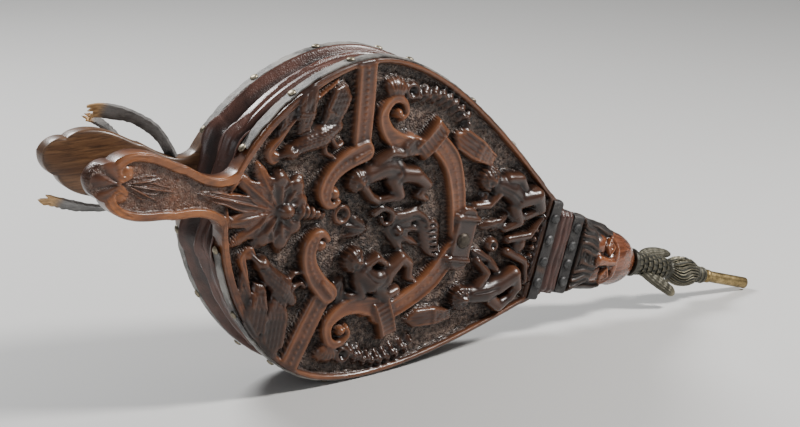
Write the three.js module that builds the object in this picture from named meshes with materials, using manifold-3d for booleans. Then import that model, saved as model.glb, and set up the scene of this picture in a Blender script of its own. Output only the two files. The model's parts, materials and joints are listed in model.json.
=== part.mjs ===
// Carved hand bellows, standing on its edge with the nozzle tip down.
// Millimetres. Row frame: +X runs towards the nozzle, +Y towards the plain rear board, +Z up.
//
// The boards are drawn in their own frame first: x = 0 at the hinge line by the neck, the handles
// towards -x, z across the width and y through the thickness. The whole is then tilted about Y until
// the rims and the nozzle tip stand on one plane.
import * as THREE from 'three';
import { mergeVertices } from 'three/addons/utils/BufferGeometryUtils.js';
import Module from 'manifold-3d';

// ---- Driving dimensions ----
const HINGE_GAP = 8.5;          // between the boards' inner faces at the hinge
const OPEN_ANGLE = THREE.MathUtils.degToRad(7);
const BOARD = 15;               // thickness of a board at its rim
const GROUND = 9;               // what is left of it under the carved field
const CLEAR = 0.3;              // gap between touching pieces

const NECK_HALF = 37;
const BELLY = { s: 208, half: 130 };
const ROOT = { s: 333, half: 24 };      // where the board turns into the handle
const WAIST = { s: 352, half: 15.5 };
const GRIP = { s: 412, half: 25.5 };
const BOARD_LENGTH = 456;
const RIM = 11;                 // width of the moulded rim
const FIELD_START = 24;         // the carved field begins here, past the neck band

const NECK_BLOCK = { from: 8, to: 28, half: 33 };   // the square end of the head
const HEAD_END = 99;
const CASTING_END = 184;
const NOZZLE_END = 234;
const WING = { upper: 15, lower: 24, sweep: 34, thick: 5, lean: THREE.MathUtils.degToRad(37) };
const TUBE = { outer: 5, inner: 4 };
const AIRWAY = 4;
const NOZZLE_Y = HINGE_GAP / 2;

const LEATHER = 2.4;
const TRIM = { thick: 1.4, wide: 9, edge: 2 };
const BAND = { thick: 2.2, wide: 10, front: -14, head: 14 };
const HOOP = { wide: 6, thick: 4, inset: 13 };
const VALVE = { s: 215, hole: 15, flap: 22, hingeAt: 31, tab: 14, leather: 2, pad: 3 };
const BATTEN = { half: 18, wide: 7, clear: 1.2 };      // clear leaves room for the flap's edge to turn
const SCREW = { shank: 1.6, head: 3.4, under: 9, cone: 11, long: 11.6, places: [18, 46] };
const HANDLE_RIM = { wide: 5, deep: 2.5 };
const BOSS = { s: 102, radius: 9, margin: 4 };
const STRAP = { wide: 15, thick: 2.2 };

// Places are shares of the edge's length from the neck; none is where the rims rest.
const NAILS = { places: [0.2, 0.35, 0.54, 0.68, 0.82, 0.96], radius: 3.2 };
const STUDS_PER_BAND = 4;
const ROUND = 16;               // sides of a round piece

// ---- Materials ----
const walnut = finish(0x4a2a18, 0.55);
const plainWalnut = finish(0x3b2316, 0.5);
const ash = finish(0x8a6a44, 0.7);
const darkLeather = finish(0x241812, 0.65);
const wornTrim = finish(0x4b4640, 0.8);
const tanLeather = finish(0x8c6a4c, 0.8);
const iron = finish(0x3a332c, 0.4, 0.9);
const bronze = finish(0x3b2f22, 0.4, 0.9);
const brass = finish(0x8a744a, 0.35, 0.95);

function finish(color, roughness, metalness = 0) {
  return new THREE.MeshStandardMaterial({ color, roughness, metalness });
}

// ---- Solids ----
const wasm = await Module();
wasm.setup();

function solidOf(geometry) {
  const bare = geometry.clone();
  bare.deleteAttribute('normal');
  bare.deleteAttribute('uv');
  const merged = mergeVertices(bare, 1e-4);
  const mesh = new wasm.Mesh({
    numProp: 3,
    vertProperties: new Float32Array(merged.attributes.position.array),
    triVerts: new Uint32Array(merged.index.array),
  });
  return new wasm.Manifold(mesh);
}

function geometryOf(solid) {
  const { vertProperties, triVerts } = solid.getMesh();
  const geometry = new THREE.BufferGeometry();
  geometry.setAttribute('position', new THREE.BufferAttribute(vertProperties, 3));
  geometry.setIndex(new THREE.BufferAttribute(triVerts, 1));
  geometry.computeVertexNormals();
  return geometry;
}

const joined = (solids) => solids.reduce((whole, next) => whole.add(next));

function piece(name, shape, material) {
  const geometry = shape instanceof THREE.BufferGeometry ? shape : geometryOf(shape);
  const mesh = new THREE.Mesh(geometry, material);
  mesh.name = name;
  return mesh;
}

// ---- Board outline ----
// s runs from the hinge towards the handle; side is +1 for the upper half and -1 for the lower.
function boardCurves(side) {
  const at = (s, half) => new THREE.Vector2(-s, side * half);
  const arc = (...points) => new THREE.CubicBezierCurve(...points);
  const bellyEdge = [
    arc(at(0, NECK_HALF), at(60, 75), at(140, BELLY.half), at(BELLY.s, BELLY.half)),
    arc(at(BELLY.s, BELLY.half), at(262, BELLY.half), at(318, 78), at(ROOT.s, ROOT.half)),
  ];
  const kink = at(379, 21);
  const shell = at(440, 15);
  const handleEdge = [
    arc(at(ROOT.s, ROOT.half), at(337, 18), at(343, WAIST.half), at(WAIST.s, WAIST.half)),
    arc(at(WAIST.s, WAIST.half), at(362, WAIST.half), at(370, 19), kink),
    arc(kink, at(385, 20), at(398, GRIP.half), at(GRIP.s, GRIP.half)),
    arc(at(GRIP.s, GRIP.half), at(426, GRIP.half), at(436, 21), shell),
    arc(shell, at(447, 15), at(BOARD_LENGTH, 9), at(BOARD_LENGTH, 0)),
  ];
  return { bellyEdge, handleEdge };
}

const BELLY_STEPS = 12;
const HANDLE_STEPS = 4;

// The points of one half, neck first. The handle is left out for the air chamber.
function halfPoints(side, withHandle) {
  const { bellyEdge, handleEdge } = boardCurves(side);
  const along = (curves, steps) => curves.flatMap((curve) => curve.getPoints(steps).slice(0, -1));
  const belly = along(bellyEdge, BELLY_STEPS);
  return withHandle ? [...belly, ...along(handleEdge, HANDLE_STEPS)] : [...belly, bellyEdge[1].v3];
}

function outlinePoints(withHandle) {
  const upper = halfPoints(1, withHandle);
  const lower = halfPoints(-1, withHandle).reverse();
  const tip = withHandle ? [new THREE.Vector2(-BOARD_LENGTH, 0)] : [];
  return [...upper, ...tip, ...lower];
}

// Moves every point of a closed outline outwards along its normal (inwards if negative).
function offset(points, distance) {
  return points.map((point, i) => {
    const before = points[(i + points.length - 1) % points.length];
    const after = points[(i + 1) % points.length];
    const into = point.clone().sub(before).normalize();
    const out = after.clone().sub(point).normalize();
    const along = into.add(out).normalize();
    return new THREE.Vector2(point.x + along.y * distance, point.y - along.x * distance);
  });
}

// A plate drawn in x and z, between two depths in y.
function plate(shape, yNear, yFar) {
  const depth = yFar - yNear;
  const geometry = new THREE.ExtrudeGeometry(shape, { depth, bevelEnabled: false, curveSegments: 8 });
  geometry.rotateX(Math.PI / 2);
  geometry.translate(0, yFar, 0);
  return solidOf(geometry);
}

const plateOf = (points, yNear, yFar) => plate(new THREE.Shape(points), yNear, yFar);

function block(xFrom, xTo, yFrom, yTo, zFrom, zTo) {
  const geometry = new THREE.BoxGeometry(xTo - xFrom, yTo - yFrom, zTo - zFrom);
  geometry.translate((xFrom + xTo) / 2, (yFrom + yTo) / 2, (zFrom + zTo) / 2);
  return solidOf(geometry);
}

// A round piece about the x axis at the nozzle's height, from a list of [x, radius].
function turned(profile, flatten = 1, sides = ROUND) {
  const points = profile.map(([x, radius]) => new THREE.Vector2(radius, x));
  const geometry = new THREE.LatheGeometry(points, sides);
  geometry.rotateZ(-Math.PI / 2);
  geometry.scale(1, flatten, 1);
  geometry.translate(0, NOZZLE_Y, 0);
  return solidOf(geometry);
}

// A rounded lump, for carved forms.
function lump(x, y, z, lengthX, heightY, widthZ, turn = 0) {
  const geometry = new THREE.SphereGeometry(1, 12, 8);
  geometry.scale(lengthX, heightY, widthZ);
  geometry.rotateY(turn);
  geometry.translate(x, y, z);
  return solidOf(geometry);
}

// ---- Carving of the front board ----
const CARVED_TOP = 6;           // how far the carving rises above its ground
const groundY = -GROUND;
const SINK = 1;                 // carved forms are rooted this deep in the ground

// A flat strap laid along a curve in the board's plane.
function strapwork(points, width, height, steps = 14) {
  const curve = new THREE.CatmullRomCurve3(points.map(([s, v]) => new THREE.Vector3(-s, v, 0)));
  const side = new THREE.Vector3();
  const edge = (sign) => curve.getSpacedPoints(steps).map((point, i) => {
    const along = curve.getTangentAt(i / steps);
    side.set(-along.y, along.x, 0).multiplyScalar(sign * width / 2);
    return new THREE.Vector2(point.x + side.x, point.y + side.y);
  });
  return plateOf([...edge(1), ...edge(-1).reverse()], groundY - height, groundY + SINK);
}

function roundel(s, v, radius, height) {
  const geometry = new THREE.CylinderGeometry(radius, radius, height + SINK, ROUND);
  geometry.translate(-s, groundY + SINK - (height + SINK) / 2, v);
  return solidOf(geometry);
}

const carved = (s, v, long, tall, wide, turn = 0) => lump(-s, groundY, v, long, tall, wide, turn);

function strapCarving(side) {
  const bar = strapwork([[239, 119 * side], [226, 66 * side], [222, 50 * side], [240, 34 * side],
    [252, 22 * side]], 15, CARVED_TOP);
  const arc = strapwork([[166, 76 * side], [147, 68 * side], [126, 47 * side], [112, 20 * side],
    [102, 0]], 15, CARVED_TOP);
  const collar = carved(160, 74 * side, 7, CARVED_TOP + 3, 16, side * 0.65);
  return joined([
    bar,
    arc,
    collar,
    roundel(242, 20 * side, 16, CARVED_TOP + 2),
    roundel(198, 87 * side, 17, CARVED_TOP + 1),
    roundel(305, 37 * side, 10, CARVED_TOP + 1),
  ]);
}

function figureCarving(side) {
  const bird = [
    carved(270, 59 * side, 20, 8, 9, side * 0.5),
    carved(289, 46 * side, 7, 8, 6),
    carved(271, 84 * side, 9, 5, 20, side * 0.3),
  ];
  const innerPutto = [
    carved(214, 30 * side, 11, 11, 10),
    carved(182, 40 * side, 22, 10, 11, side * 0.2),
    carved(154, 35 * side, 16, 8, 7, side * 0.4),
  ];
  const outerPutto = [
    carved(87, 51 * side, 11, 11, 10),
    carved(58, 42 * side, 24, 10, 12, side * -0.3),
    carved(110, 75 * side, 24, 5, 9, side * 0.4),
  ];
  const swag = carved(160, 103 * side, 34, 6, 7, side * 0.35);
  return joined([...bird, ...innerPutto, ...outerPutto, swag]);
}

function rosette() {
  const middle = 290;
  const count = 8;
  const reach = 19;
  const petals = [];
  for (let i = 0; i < count; i += 1) {
    const angle = (i / count) * 2 * Math.PI;
    petals.push(carved(middle + reach * Math.cos(angle), reach * Math.sin(angle), 14, 6, 7, angle));
  }
  const eye = carved(middle, 0, 12, 10, 12);
  const leafOnHandle = carved(ROOT.s, 0, 30, 6, 8);
  return joined([eye, ...petals, leafOnHandle]);
}

// ---- Boards ----
function frontBoard() {
  const whole = plateOf(outlinePoints(true), -BOARD, 0);
  const field = plateOf(offset(outlinePoints(false), -RIM), -BOARD - 1, groundY);
  const neckLand = block(-FIELD_START, 1, -BOARD - 2, groundY + 1, -BELLY.half, BELLY.half);
  const grip = plateOf(offset(outlinePoints(true), -HANDLE_RIM.wide), -BOARD - 1, -BOARD + HANDLE_RIM.deep);
  const gripOnly = block(-BOARD_LENGTH, -WAIST.s, -BOARD - 2, 0, -GRIP.half, GRIP.half);
  const bare = whole.subtract(field.subtract(neckLand)).subtract(grip.intersect(gripOnly));
  const carving = joined([
    strapCarving(1),
    strapCarving(-1),
    figureCarving(1),
    figureCarving(-1),
    rosette(),
    carved(176, 6, 14, 7, 12),
    carved(60, -6, 12, 7, 14),
  ]);
  const inside = plateOf(offset(outlinePoints(false), -RIM / 2), -BOARD * 2, 0);
  const bossSeat = roundel(BOSS.s, 0, BOSS.radius + BOSS.margin, CARVED_TOP);
  return joined([bare, carving.intersect(inside), bossSeat]);
}

const rearInner = HINGE_GAP;
const rearOuter = HINGE_GAP + BOARD;
const TONGUE = { to: 62, half: 20, thick: 7 };

function rearBoard() {
  const whole = plateOf(outlinePoints(true), rearInner, rearOuter);
  const tongue = block(-1, TONGUE.to, rearOuter - TONGUE.thick, rearOuter, -TONGUE.half, TONGUE.half);
  const hole = new THREE.CylinderGeometry(VALVE.hole, VALVE.hole, BOARD * 3, ROUND * 2);
  hole.translate(-VALVE.s, rearInner, 0);
  return whole.add(tongue).subtract(solidOf(hole));
}

// ---- Head and nozzle ----
function headBlock() {
  const { from, to, half } = NECK_BLOCK;
  const neck = block(from, to, -BOARD, rearOuter, -half, half);
  const body = turned([[to - 3, 0], [to - 3, 29], [40, 28], [62, 27], [78, 23], [90, 16], [HEAD_END, 11],
    [HEAD_END, 0]], 0.72, 24);
  const faceY = NOZZLE_Y - 19;
  const brow = lump(80, faceY + 5, 0, 17, 9, 16);
  const nose = lump(58, faceY + 1, 0, 12, 6, 6);
  const lip = lump(46, faceY + 1, 0, 6, 5, 7);
  const cheek = (side) => lump(52, faceY + 4, side * 13, 9, 5, 8);
  const beard = lump(39, faceY + 2, 0, 13, 6, 15);
  const mask = joined([brow, nose, lip, cheek(1), cheek(-1), beard]);
  const rebate = block(0, TONGUE.to + CLEAR, rearOuter - TONGUE.thick - CLEAR, 40,
    -TONGUE.half - CLEAR, TONGUE.half + CLEAR);
  const back = block(0, HEAD_END + 1, rearOuter, 60, -60, 60);
  const carvedHead = joined([body, mask, neck]).subtract(back).subtract(rebate);
  return carvedHead.subtract(airway(from - 1, HEAD_END + 1));
}

function airway(from, to) {
  return turned([[from, 0], [from, AIRWAY], [to, AIRWAY], [to, 0]], 1);
}

// A flat wing of the bronze creature; the pair leans back from the z direction by WING.lean.
function wing(rootX, rise) {
  const { sweep, thick, lean } = WING;
  const shape = new THREE.Shape();
  shape.moveTo(rootX, 0);
  shape.quadraticCurveTo(rootX + sweep * 0.2, rise * 0.9, rootX + sweep, rise);
  shape.quadraticCurveTo(rootX + sweep * 0.8, rise * 0.5, rootX + sweep * 0.6, 0);
  const geometry = new THREE.ExtrudeGeometry(shape, { depth: thick, bevelEnabled: false });
  geometry.translate(0, 0, -thick / 2);
  geometry.rotateX(Math.PI / 2 - lean);
  geometry.translate(0, NOZZLE_Y, 0);
  return solidOf(geometry);
}

function nozzleCasting() {
  const from = HEAD_END + CLEAR;
  const profile = [[from, 0], [from, 13], [from + 4, 13], [from + 6, 9]];
  const ribs = 5;
  for (let i = 0; i < ribs; i += 1) {
    const x = from + 9 + i * 6;
    profile.push([x, 11], [x + 3, 9]);
  }
  profile.push([148, 12], [158, 13], [170, 9], [176, 7], [CASTING_END, 7.5], [CASTING_END, 0]);
  const body = turned(profile);
  const wings = wing(116, WING.upper).add(wing(122, -WING.lower));
  const seat = turned([[CASTING_END - 20, 0], [CASTING_END - 20, TUBE.outer + CLEAR],
    [CASTING_END + 1, TUBE.outer + CLEAR], [CASTING_END + 1, 0]]);
  return body.add(wings).subtract(airway(from - 1, CASTING_END)).subtract(seat);
}

function nozzleTube() {
  const from = CASTING_END - 20 + CLEAR;
  const { outer, inner } = TUBE;
  return turned([[from, inner], [from, outer], [CASTING_END + 3, outer], [CASTING_END + 4, outer + 0.8],
    [CASTING_END + 7, outer + 0.8], [CASTING_END + 8, outer], [NOZZLE_END, outer], [NOZZLE_END, inner],
    [from, inner]]);
}

// A screw with a flat countersunk head, its axis along y. The head's flat faces +y.
function screw(x, z) {
  const { shank, head, under, cone, long } = SCREW;
  const points = [[0, 0], [shank, 0], [shank, under], [head, cone], [head, long], [0, long]];
  const geometry = new THREE.LatheGeometry(points.map(([r, y]) => new THREE.Vector2(r, y)), ROUND);
  geometry.translate(x, rearOuter + CLEAR - long, z);
  return geometry;
}

function screwHole(x, z) {
  const radius = SCREW.head + CLEAR + 0.1;
  const deep = SCREW.long + 2 * CLEAR;
  const geometry = new THREE.CylinderGeometry(radius, radius, deep, ROUND);
  geometry.translate(x, rearOuter + CLEAR - SCREW.long / 2, z);
  return solidOf(geometry);
}

// ---- Leather ----
// The plan of what lies between the boards, from the hinge to the handle end, seen along z.
function wedge(clear, xFrom, xTo) {
  const slope = Math.tan(OPEN_ANGLE);
  const shape = new THREE.Shape([
    new THREE.Vector2(xFrom, HINGE_GAP - clear),
    new THREE.Vector2(xTo, HINGE_GAP - clear),
    new THREE.Vector2(xTo, xTo * slope + clear),
    new THREE.Vector2(xFrom, xFrom * slope + clear),
  ].reverse());
  const tall = BELLY.half * 2 + 20;
  const geometry = new THREE.ExtrudeGeometry(shape, { depth: tall, bevelEnabled: false });
  geometry.translate(0, 0, -tall / 2);
  return solidOf(geometry);
}

function gusset() {
  const reach = -BOARD * 5;
  const outer = plateOf(offset(outlinePoints(false), -1), reach, rearInner);
  const inner = plateOf(offset(outlinePoints(false), -1 - LEATHER), reach - 1, rearInner + 1);
  return outer.subtract(inner).intersect(wedge(CLEAR, -ROOT.s - 2, -6));
}

// A strip on the edge of a board: the ring round the chamber's outline, one half of it.
function edgeTrim(side, yNear, yFar) {
  const outer = plateOf(offset(outlinePoints(false), CLEAR + TRIM.thick), yNear, yFar);
  const inner = plateOf(offset(outlinePoints(false), CLEAR), yNear - 1, yFar + 1);
  const [zLow, zHigh] = side > 0 ? [ROOT.half + 6, 200] : [-200, -ROOT.half - 6];
  const half = block(-ROOT.s - 10, -FIELD_START + 2, yNear - 2, yFar + 2, zLow, zHigh);
  return outer.subtract(inner).intersect(half);
}

// A flat strip nailed across the neck, on the face at the given height.
function neckBand(xFrom, half, face) {
  const near = face - CLEAR - BAND.thick;
  return block(xFrom, xFrom + BAND.wide, near, face - CLEAR, -half, half);
}

// The strip that bridges the joint at the front, between the two bands.
function hingeLeather() {
  const near = -BOARD - 1 - LEATHER;
  return block(-1.2, BAND.head - CLEAR, near, near + LEATHER - CLEAR, -NECK_BLOCK.half, NECK_BLOCK.half);
}

// ---- Hoop that spreads the leather, halfway between the boards ----
function foldHoop() {
  const outline = offset(outlinePoints(false), -HOOP.inset + HOOP.wide);
  const outer = plateOf(outline, -HOOP.thick / 2, HOOP.thick / 2);
  const inner = plateOf(offset(outlinePoints(false), -HOOP.inset), -HOOP.thick, HOOP.thick);
  const span = block(-ROOT.s, -40, -HOOP.thick, HOOP.thick, -200, 200);
  return outer.subtract(inner).intersect(span);
}

// ---- Intake valve ----
const flapY = rearInner - CLEAR;

function disc(radius, yNear, yFar) {
  const geometry = new THREE.CylinderGeometry(radius, radius, yFar - yNear, ROUND * 2);
  geometry.translate(-VALVE.s, (yNear + yFar) / 2, 0);
  return solidOf(geometry);
}

function valveFlap() {
  const y = flapY - VALVE.leather;
  const tab = block(-VALVE.s - VALVE.tab, -VALVE.s + VALVE.tab, y, flapY, 0, VALVE.hingeAt);
  return disc(VALVE.flap, y, flapY).add(tab);
}

function valvePad() {
  const top = flapY - VALVE.leather - CLEAR;
  return disc(VALVE.hole - 1, top - VALVE.pad, top);
}

function valveBatten() {
  const y = flapY - VALVE.leather;
  const low = VALVE.hingeAt + BATTEN.clear;
  return block(-VALVE.s - BATTEN.half, -VALVE.s + BATTEN.half, y, flapY, low, low + BATTEN.wide);
}

// ---- Fasteners ----
// A domed head. Its flat side is at the origin and the dome rises along +y.
function domedHead(radius, rise) {
  const steps = 3;
  const points = [new THREE.Vector2(0, 0)];
  for (let i = 0; i <= steps; i += 1) {
    const angle = (i / steps) * (Math.PI / 2);
    points.push(new THREE.Vector2(radius * Math.cos(angle), 0.5 + rise * Math.sin(angle)));
  }
  points.splice(1, 0, new THREE.Vector2(radius, 0));
  points[points.length - 1].x = 0;
  return new THREE.LatheGeometry(points, 10);
}

// A stud in the front: it faces -y.
function frontStud(name, x, y, z, radius, material) {
  const mesh = piece(name, domedHead(radius, radius * 0.55), material);
  mesh.position.set(x, y, z);
  mesh.rotation.x = Math.PI;
  return mesh;
}

function bandStuds(prefix, xFrom, half) {
  const studs = [];
  const step = 2 * half / STUDS_PER_BAND;
  for (let i = 0; i < STUDS_PER_BAND; i += 1) {
    const z = half - (i + 0.5) * step;
    const x = xFrom + BAND.wide / 2;
    const y = -BOARD - 2 * CLEAR - BAND.thick;
    studs.push(frontStud(`${prefix}_${i + 1}`, x, y, z, 4, iron));
  }
  return studs;
}

// Nails down the middle of an edge trim, square to the edge.
function trimNails(prefix, side, y) {
  const [widening, narrowing] = boardCurves(side).bellyEdge;
  const edge = new THREE.CurvePath();
  edge.add(widening);
  edge.add(narrowing);
  const nails = [];
  NAILS.places.forEach((u, i) => {
    const point = edge.getPointAt(u);
    const along = edge.getTangentAt(u);
    const out = new THREE.Vector3(along.y, 0, -along.x).multiplyScalar(side);
    const nail = piece(`${prefix}_${i + 1}`, domedHead(NAILS.radius, NAILS.radius / 2), iron);
    nail.position.set(point.x, y, point.y).addScaledVector(out, CLEAR * 2 + TRIM.thick);
    nail.quaternion.setFromUnitVectors(new THREE.Vector3(0, 1, 0), out);
    nails.push(nail);
  });
  return nails;
}

// ---- Torn carrying strap, what is left of it ----
// A strap of rectangular section swept along a curve.
function strap(points, width, thick, steps) {
  const path = new THREE.CatmullRomCurve3(points.map(([x, y, z]) => new THREE.Vector3(x, y, z)));
  const section = new THREE.Shape([
    new THREE.Vector2(-width / 2, -thick / 2),
    new THREE.Vector2(width / 2, -thick / 2),
    new THREE.Vector2(width / 2, thick / 2),
    new THREE.Vector2(-width / 2, thick / 2),
  ]);
  return new THREE.ExtrudeGeometry(section, { steps, extrudePath: path, bevelEnabled: false });
}

// It runs from the rear handle's waist: a loop above the handle, its torn tail behind, a tongue below.
const strapY = (rearInner + rearOuter) / 2;
const behindY = rearOuter + STRAP.wide / 2 + 1;
const LOOP = [[-350, strapY, 18], [-362, strapY, 27], [-376, strapY, 36], [-392, strapY, 40],
  [-408, strapY, 39], [-425, strapY, 37]];
const TAIL = [[-424, behindY, 31], [-411, behindY, 29], [-398, behindY, 24], [-386, behindY, 17],
  [-374, behindY, 12]];
const TONGUE_BELOW = [[-352, behindY, -12], [-364, behindY, -26], [-382, behindY, -35],
  [-408, behindY, -38], [-441, behindY, -37]];

// ---- Stance ----
// The tilt at which the rims' lowest points and the nozzle tip touch one level plane.
function stanceTilt() {
  const edge = offset(outlinePoints(false), CLEAR + TRIM.thick);
  const slopes = edge.map(({ x, y }) => (-y - TUBE.outer) / (NOZZLE_END - x));
  return Math.atan(Math.max(...slopes));
}

// ---- Assembly ----
const bellows = new THREE.Group();
const stance = new THREE.Group();
stance.rotation.y = stanceTilt();
bellows.add(stance);

const screwHoles = joined(SCREW.places.map((x) => screwHole(x, 0)));
stance.add(
  piece('rear_board', rearBoard().subtract(screwHoles), plainWalnut),
  piece('head_block', headBlock().subtract(screwHoles), walnut),
  piece('nozzle_casting', nozzleCasting(), bronze),
  piece('nozzle_tube', nozzleTube(), brass),
  piece('gusset', gusset(), darkLeather),
  piece('hinge_leather', hingeLeather(), darkLeather),
  piece('head_band', neckBand(BAND.head, NECK_BLOCK.half - 2, -BOARD), darkLeather),
  piece('rear_trim_upper', edgeTrim(1, rearInner + TRIM.edge, rearInner + TRIM.edge + TRIM.wide), wornTrim),
  piece('rear_trim_lower', edgeTrim(-1, rearInner + TRIM.edge, rearInner + TRIM.edge + TRIM.wide), wornTrim),
);
SCREW.places.forEach((x, i) => stance.add(piece(`head_screw_${i + 1}`, screw(x, 0), iron)));
stance.add(...trimNails('rear_nail_upper', 1, rearInner + TRIM.edge + TRIM.wide / 2));
stance.add(...trimNails('rear_nail_lower', -1, rearInner + TRIM.edge + TRIM.wide / 2));
stance.add(
  piece('strap_loop', strap(LOOP, STRAP.wide, STRAP.thick, 14), darkLeather),
  piece('strap_tail', strap(TAIL, STRAP.wide * 0.6, STRAP.thick, 8), darkLeather),
  piece('strap_tongue', strap(TONGUE_BELOW, STRAP.wide * 0.8, STRAP.thick, 10), darkLeather),
);
stance.add(piece('valve_batten', valveBatten(), plainWalnut));
stance.add(piece('valve_flap', valveFlap(), tanLeather));
stance.add(piece('valve_pad', valvePad(), plainWalnut));

const front = new THREE.Group();
front.rotation.z = OPEN_ANGLE;
stance.add(front);
front.add(piece('front_board', frontBoard(), walnut));
front.add(piece('front_band', neckBand(BAND.front, NECK_HALF, -BOARD), darkLeather));
front.add(piece('front_trim_upper', edgeTrim(1, -TRIM.edge - TRIM.wide, -TRIM.edge), wornTrim));
front.add(piece('front_trim_lower', edgeTrim(-1, -TRIM.edge - TRIM.wide, -TRIM.edge), wornTrim));
front.add(...trimNails('front_nail_upper', 1, -TRIM.edge - TRIM.wide / 2));
front.add(...trimNails('front_nail_lower', -1, -TRIM.edge - TRIM.wide / 2));

front.add(...bandStuds('front_band_stud', BAND.front, NECK_HALF));
front.add(frontStud('boss_stud', -BOSS.s, groundY - CARVED_TOP - CLEAR, 0, BOSS.radius, iron));
stance.add(...bandStuds('head_band_stud', BAND.head, NECK_BLOCK.half - 2));

const hoop = new THREE.Group();
hoop.rotation.z = OPEN_ANGLE / 2;
hoop.position.set(0, HINGE_GAP / 2, 0);
stance.add(hoop);
hoop.add(piece('fold_hoop', foldHoop(), ash));

// The row's origin is the middle of the footprint, on the ground.
bellows.updateMatrixWorld(true);
const reach = new THREE.Box3().setFromObject(bellows, true);
const middle = reach.getCenter(new THREE.Vector3());
stance.position.set(-middle.x, -middle.y, -reach.min.z);
bellows.updateMatrixWorld(true);

export default bellows;
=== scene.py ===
"""Looks of the carved hand bellows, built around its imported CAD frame.

Pieces are drawn in millimetres in the boards' own frame: s runs from the hinge at the neck towards
the handles, v across the width, and depth out of a board. They are then placed in the row frame.
"""
import json
import math

import bmesh
import bpy
import numpy as np
from mathutils import Matrix, Vector


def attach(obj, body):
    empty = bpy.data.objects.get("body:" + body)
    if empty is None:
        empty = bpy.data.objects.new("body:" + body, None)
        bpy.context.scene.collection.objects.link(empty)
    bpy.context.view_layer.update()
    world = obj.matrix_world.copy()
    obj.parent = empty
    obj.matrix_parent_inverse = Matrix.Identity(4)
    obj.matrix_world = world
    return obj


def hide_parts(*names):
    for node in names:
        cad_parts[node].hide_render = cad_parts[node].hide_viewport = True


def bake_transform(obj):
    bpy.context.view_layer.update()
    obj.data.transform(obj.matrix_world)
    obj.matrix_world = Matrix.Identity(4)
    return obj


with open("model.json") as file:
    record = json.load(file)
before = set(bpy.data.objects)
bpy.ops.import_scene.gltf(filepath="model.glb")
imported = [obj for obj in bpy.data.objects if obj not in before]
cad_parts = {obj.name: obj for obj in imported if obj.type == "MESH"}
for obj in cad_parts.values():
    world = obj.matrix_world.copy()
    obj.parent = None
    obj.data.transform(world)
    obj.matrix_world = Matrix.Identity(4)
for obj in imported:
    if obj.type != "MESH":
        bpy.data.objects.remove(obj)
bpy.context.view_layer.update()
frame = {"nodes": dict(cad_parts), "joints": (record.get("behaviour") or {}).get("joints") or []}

# ---- Sizes shared with the CAD model, in millimetres ----
MM = 0.001
GAP = 8.5                     # between the boards' inner faces at the hinge
OPEN = math.radians(7)
BOARD = 15
GROUND = 8                    # depth of the carved field's ground
NECK_HALF = 37
BELLY = (208, 130)
ROOT = (333, 24)
WAIST = (352, 15.5)
GRIP = (412, 25.5)
LENGTH = 456
WALL = 1.4                    # how far a carved wall leans, so that it is more than one grid step wide
HANDLE_GROUND = 4.2           # the handle's sunken panel stands this far above the field's ground
HANDLE_FROM = 330             # past here the relief stays low, as on the handle
TRIM_FROM, TRIM_TO = 22.5, 328
TRIM_LOW, TRIM_HIGH = 2.1, 10.9
NAIL_PLACES = (0.2, 0.35, 0.54, 0.68, 0.82, 0.96)    # shares of the edge from neck to handle
NAIL_RADIUS = 3.2
STUDS = 4
FRONT_BAND_HALF, HEAD_BAND_HALF = 41.5, 32.5
BAND_Y, STUD_Y = -16.45, -17.75    # middle of the neck bands' leather, and the studs' seats
HOOP_HALF, HOOP_FACE = 4.0, 4.7    # the room the hoop needs: along the gap, and in from the edge
INTAKE_S, INTAKE_RADIUS = 215, 15
TONGUE = (-20, 61.5), (16.7, 23.4), (-19.8, 19.8)    # limits along x, y and z
REBATE = (0, 62.3), (16.2, 60), (-20.1, 20.1)        # what is cut from the mask to take the tongue
AXIS_Y = 4.25                 # height of the nozzle's axis above the boards' plane

# ---- Grid sizes ----
BELLY_ROWS, HANDLE_ROWS, TIP_ROWS = 292, 94, 16
COLUMNS = 240
GUSSET_ROWS, GUSSET_COLUMNS = 760, 73
HEAD_ROWS, HEAD_SIDES = 250, 336

swing = next(j for j in frame["joints"] if j["name"] == "board_swing")
axis = swing["axis"]
TILT = math.atan2(axis[0], axis[2])
STANCE = Matrix.Translation(swing["pos_m"]) @ Matrix.Rotation(TILT, 4, "Y")
FRONT = STANCE @ Matrix.Rotation(OPEN, 4, "Z")
TO_METRES = Matrix.Scale(MM, 4)
rng = np.random.default_rng(7)


# ---- Camera, light and floor ----
def add_camera():
    """The camera of the photograph, worked out from the bellows' outline in it."""
    down, distance, aside, rise = math.radians(16.4), 1.9312, -0.1182, 0.0277
    turn, roll = math.radians(29.99), math.radians(17.41) - TILT
    forward = Vector((0, math.cos(down), -math.sin(down)))
    up = Vector((0, math.sin(down), math.cos(down)))
    right = Vector((1, 0, 0))
    place = -forward * distance + right * aside + up * rise
    pose = Matrix((right, up, -forward)).transposed().to_4x4()
    pose.translation = place
    to_row = Matrix.Translation(swing["pos_m"]) @ (
        Matrix.Rotation(turn, 4, "Z") @ Matrix.Rotation(roll, 4, "Y")).inverted()
    data = bpy.data.cameras.new("camera")
    data.sensor_width = 36
    data.lens = 103.23
    data.clip_end = 30
    camera = bpy.data.objects.new("camera", data)
    bpy.context.scene.collection.objects.link(camera)
    camera.matrix_world = to_row @ pose
    bpy.context.scene.camera = camera


def add_light(name, place, target, size, power, tint=(1, 1, 1)):
    """A round area light aimed at a target."""
    data = bpy.data.lights.new(name, "AREA")
    data.shape = "DISK"
    data.size = size
    data.energy = power
    data.color = tint
    light = bpy.data.objects.new(name, data)
    bpy.context.scene.collection.objects.link(light)
    light.location = place
    aim = Vector(target) - Vector(place)
    light.rotation_euler = aim.to_track_quat("-Z", "Y").to_euler()


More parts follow.
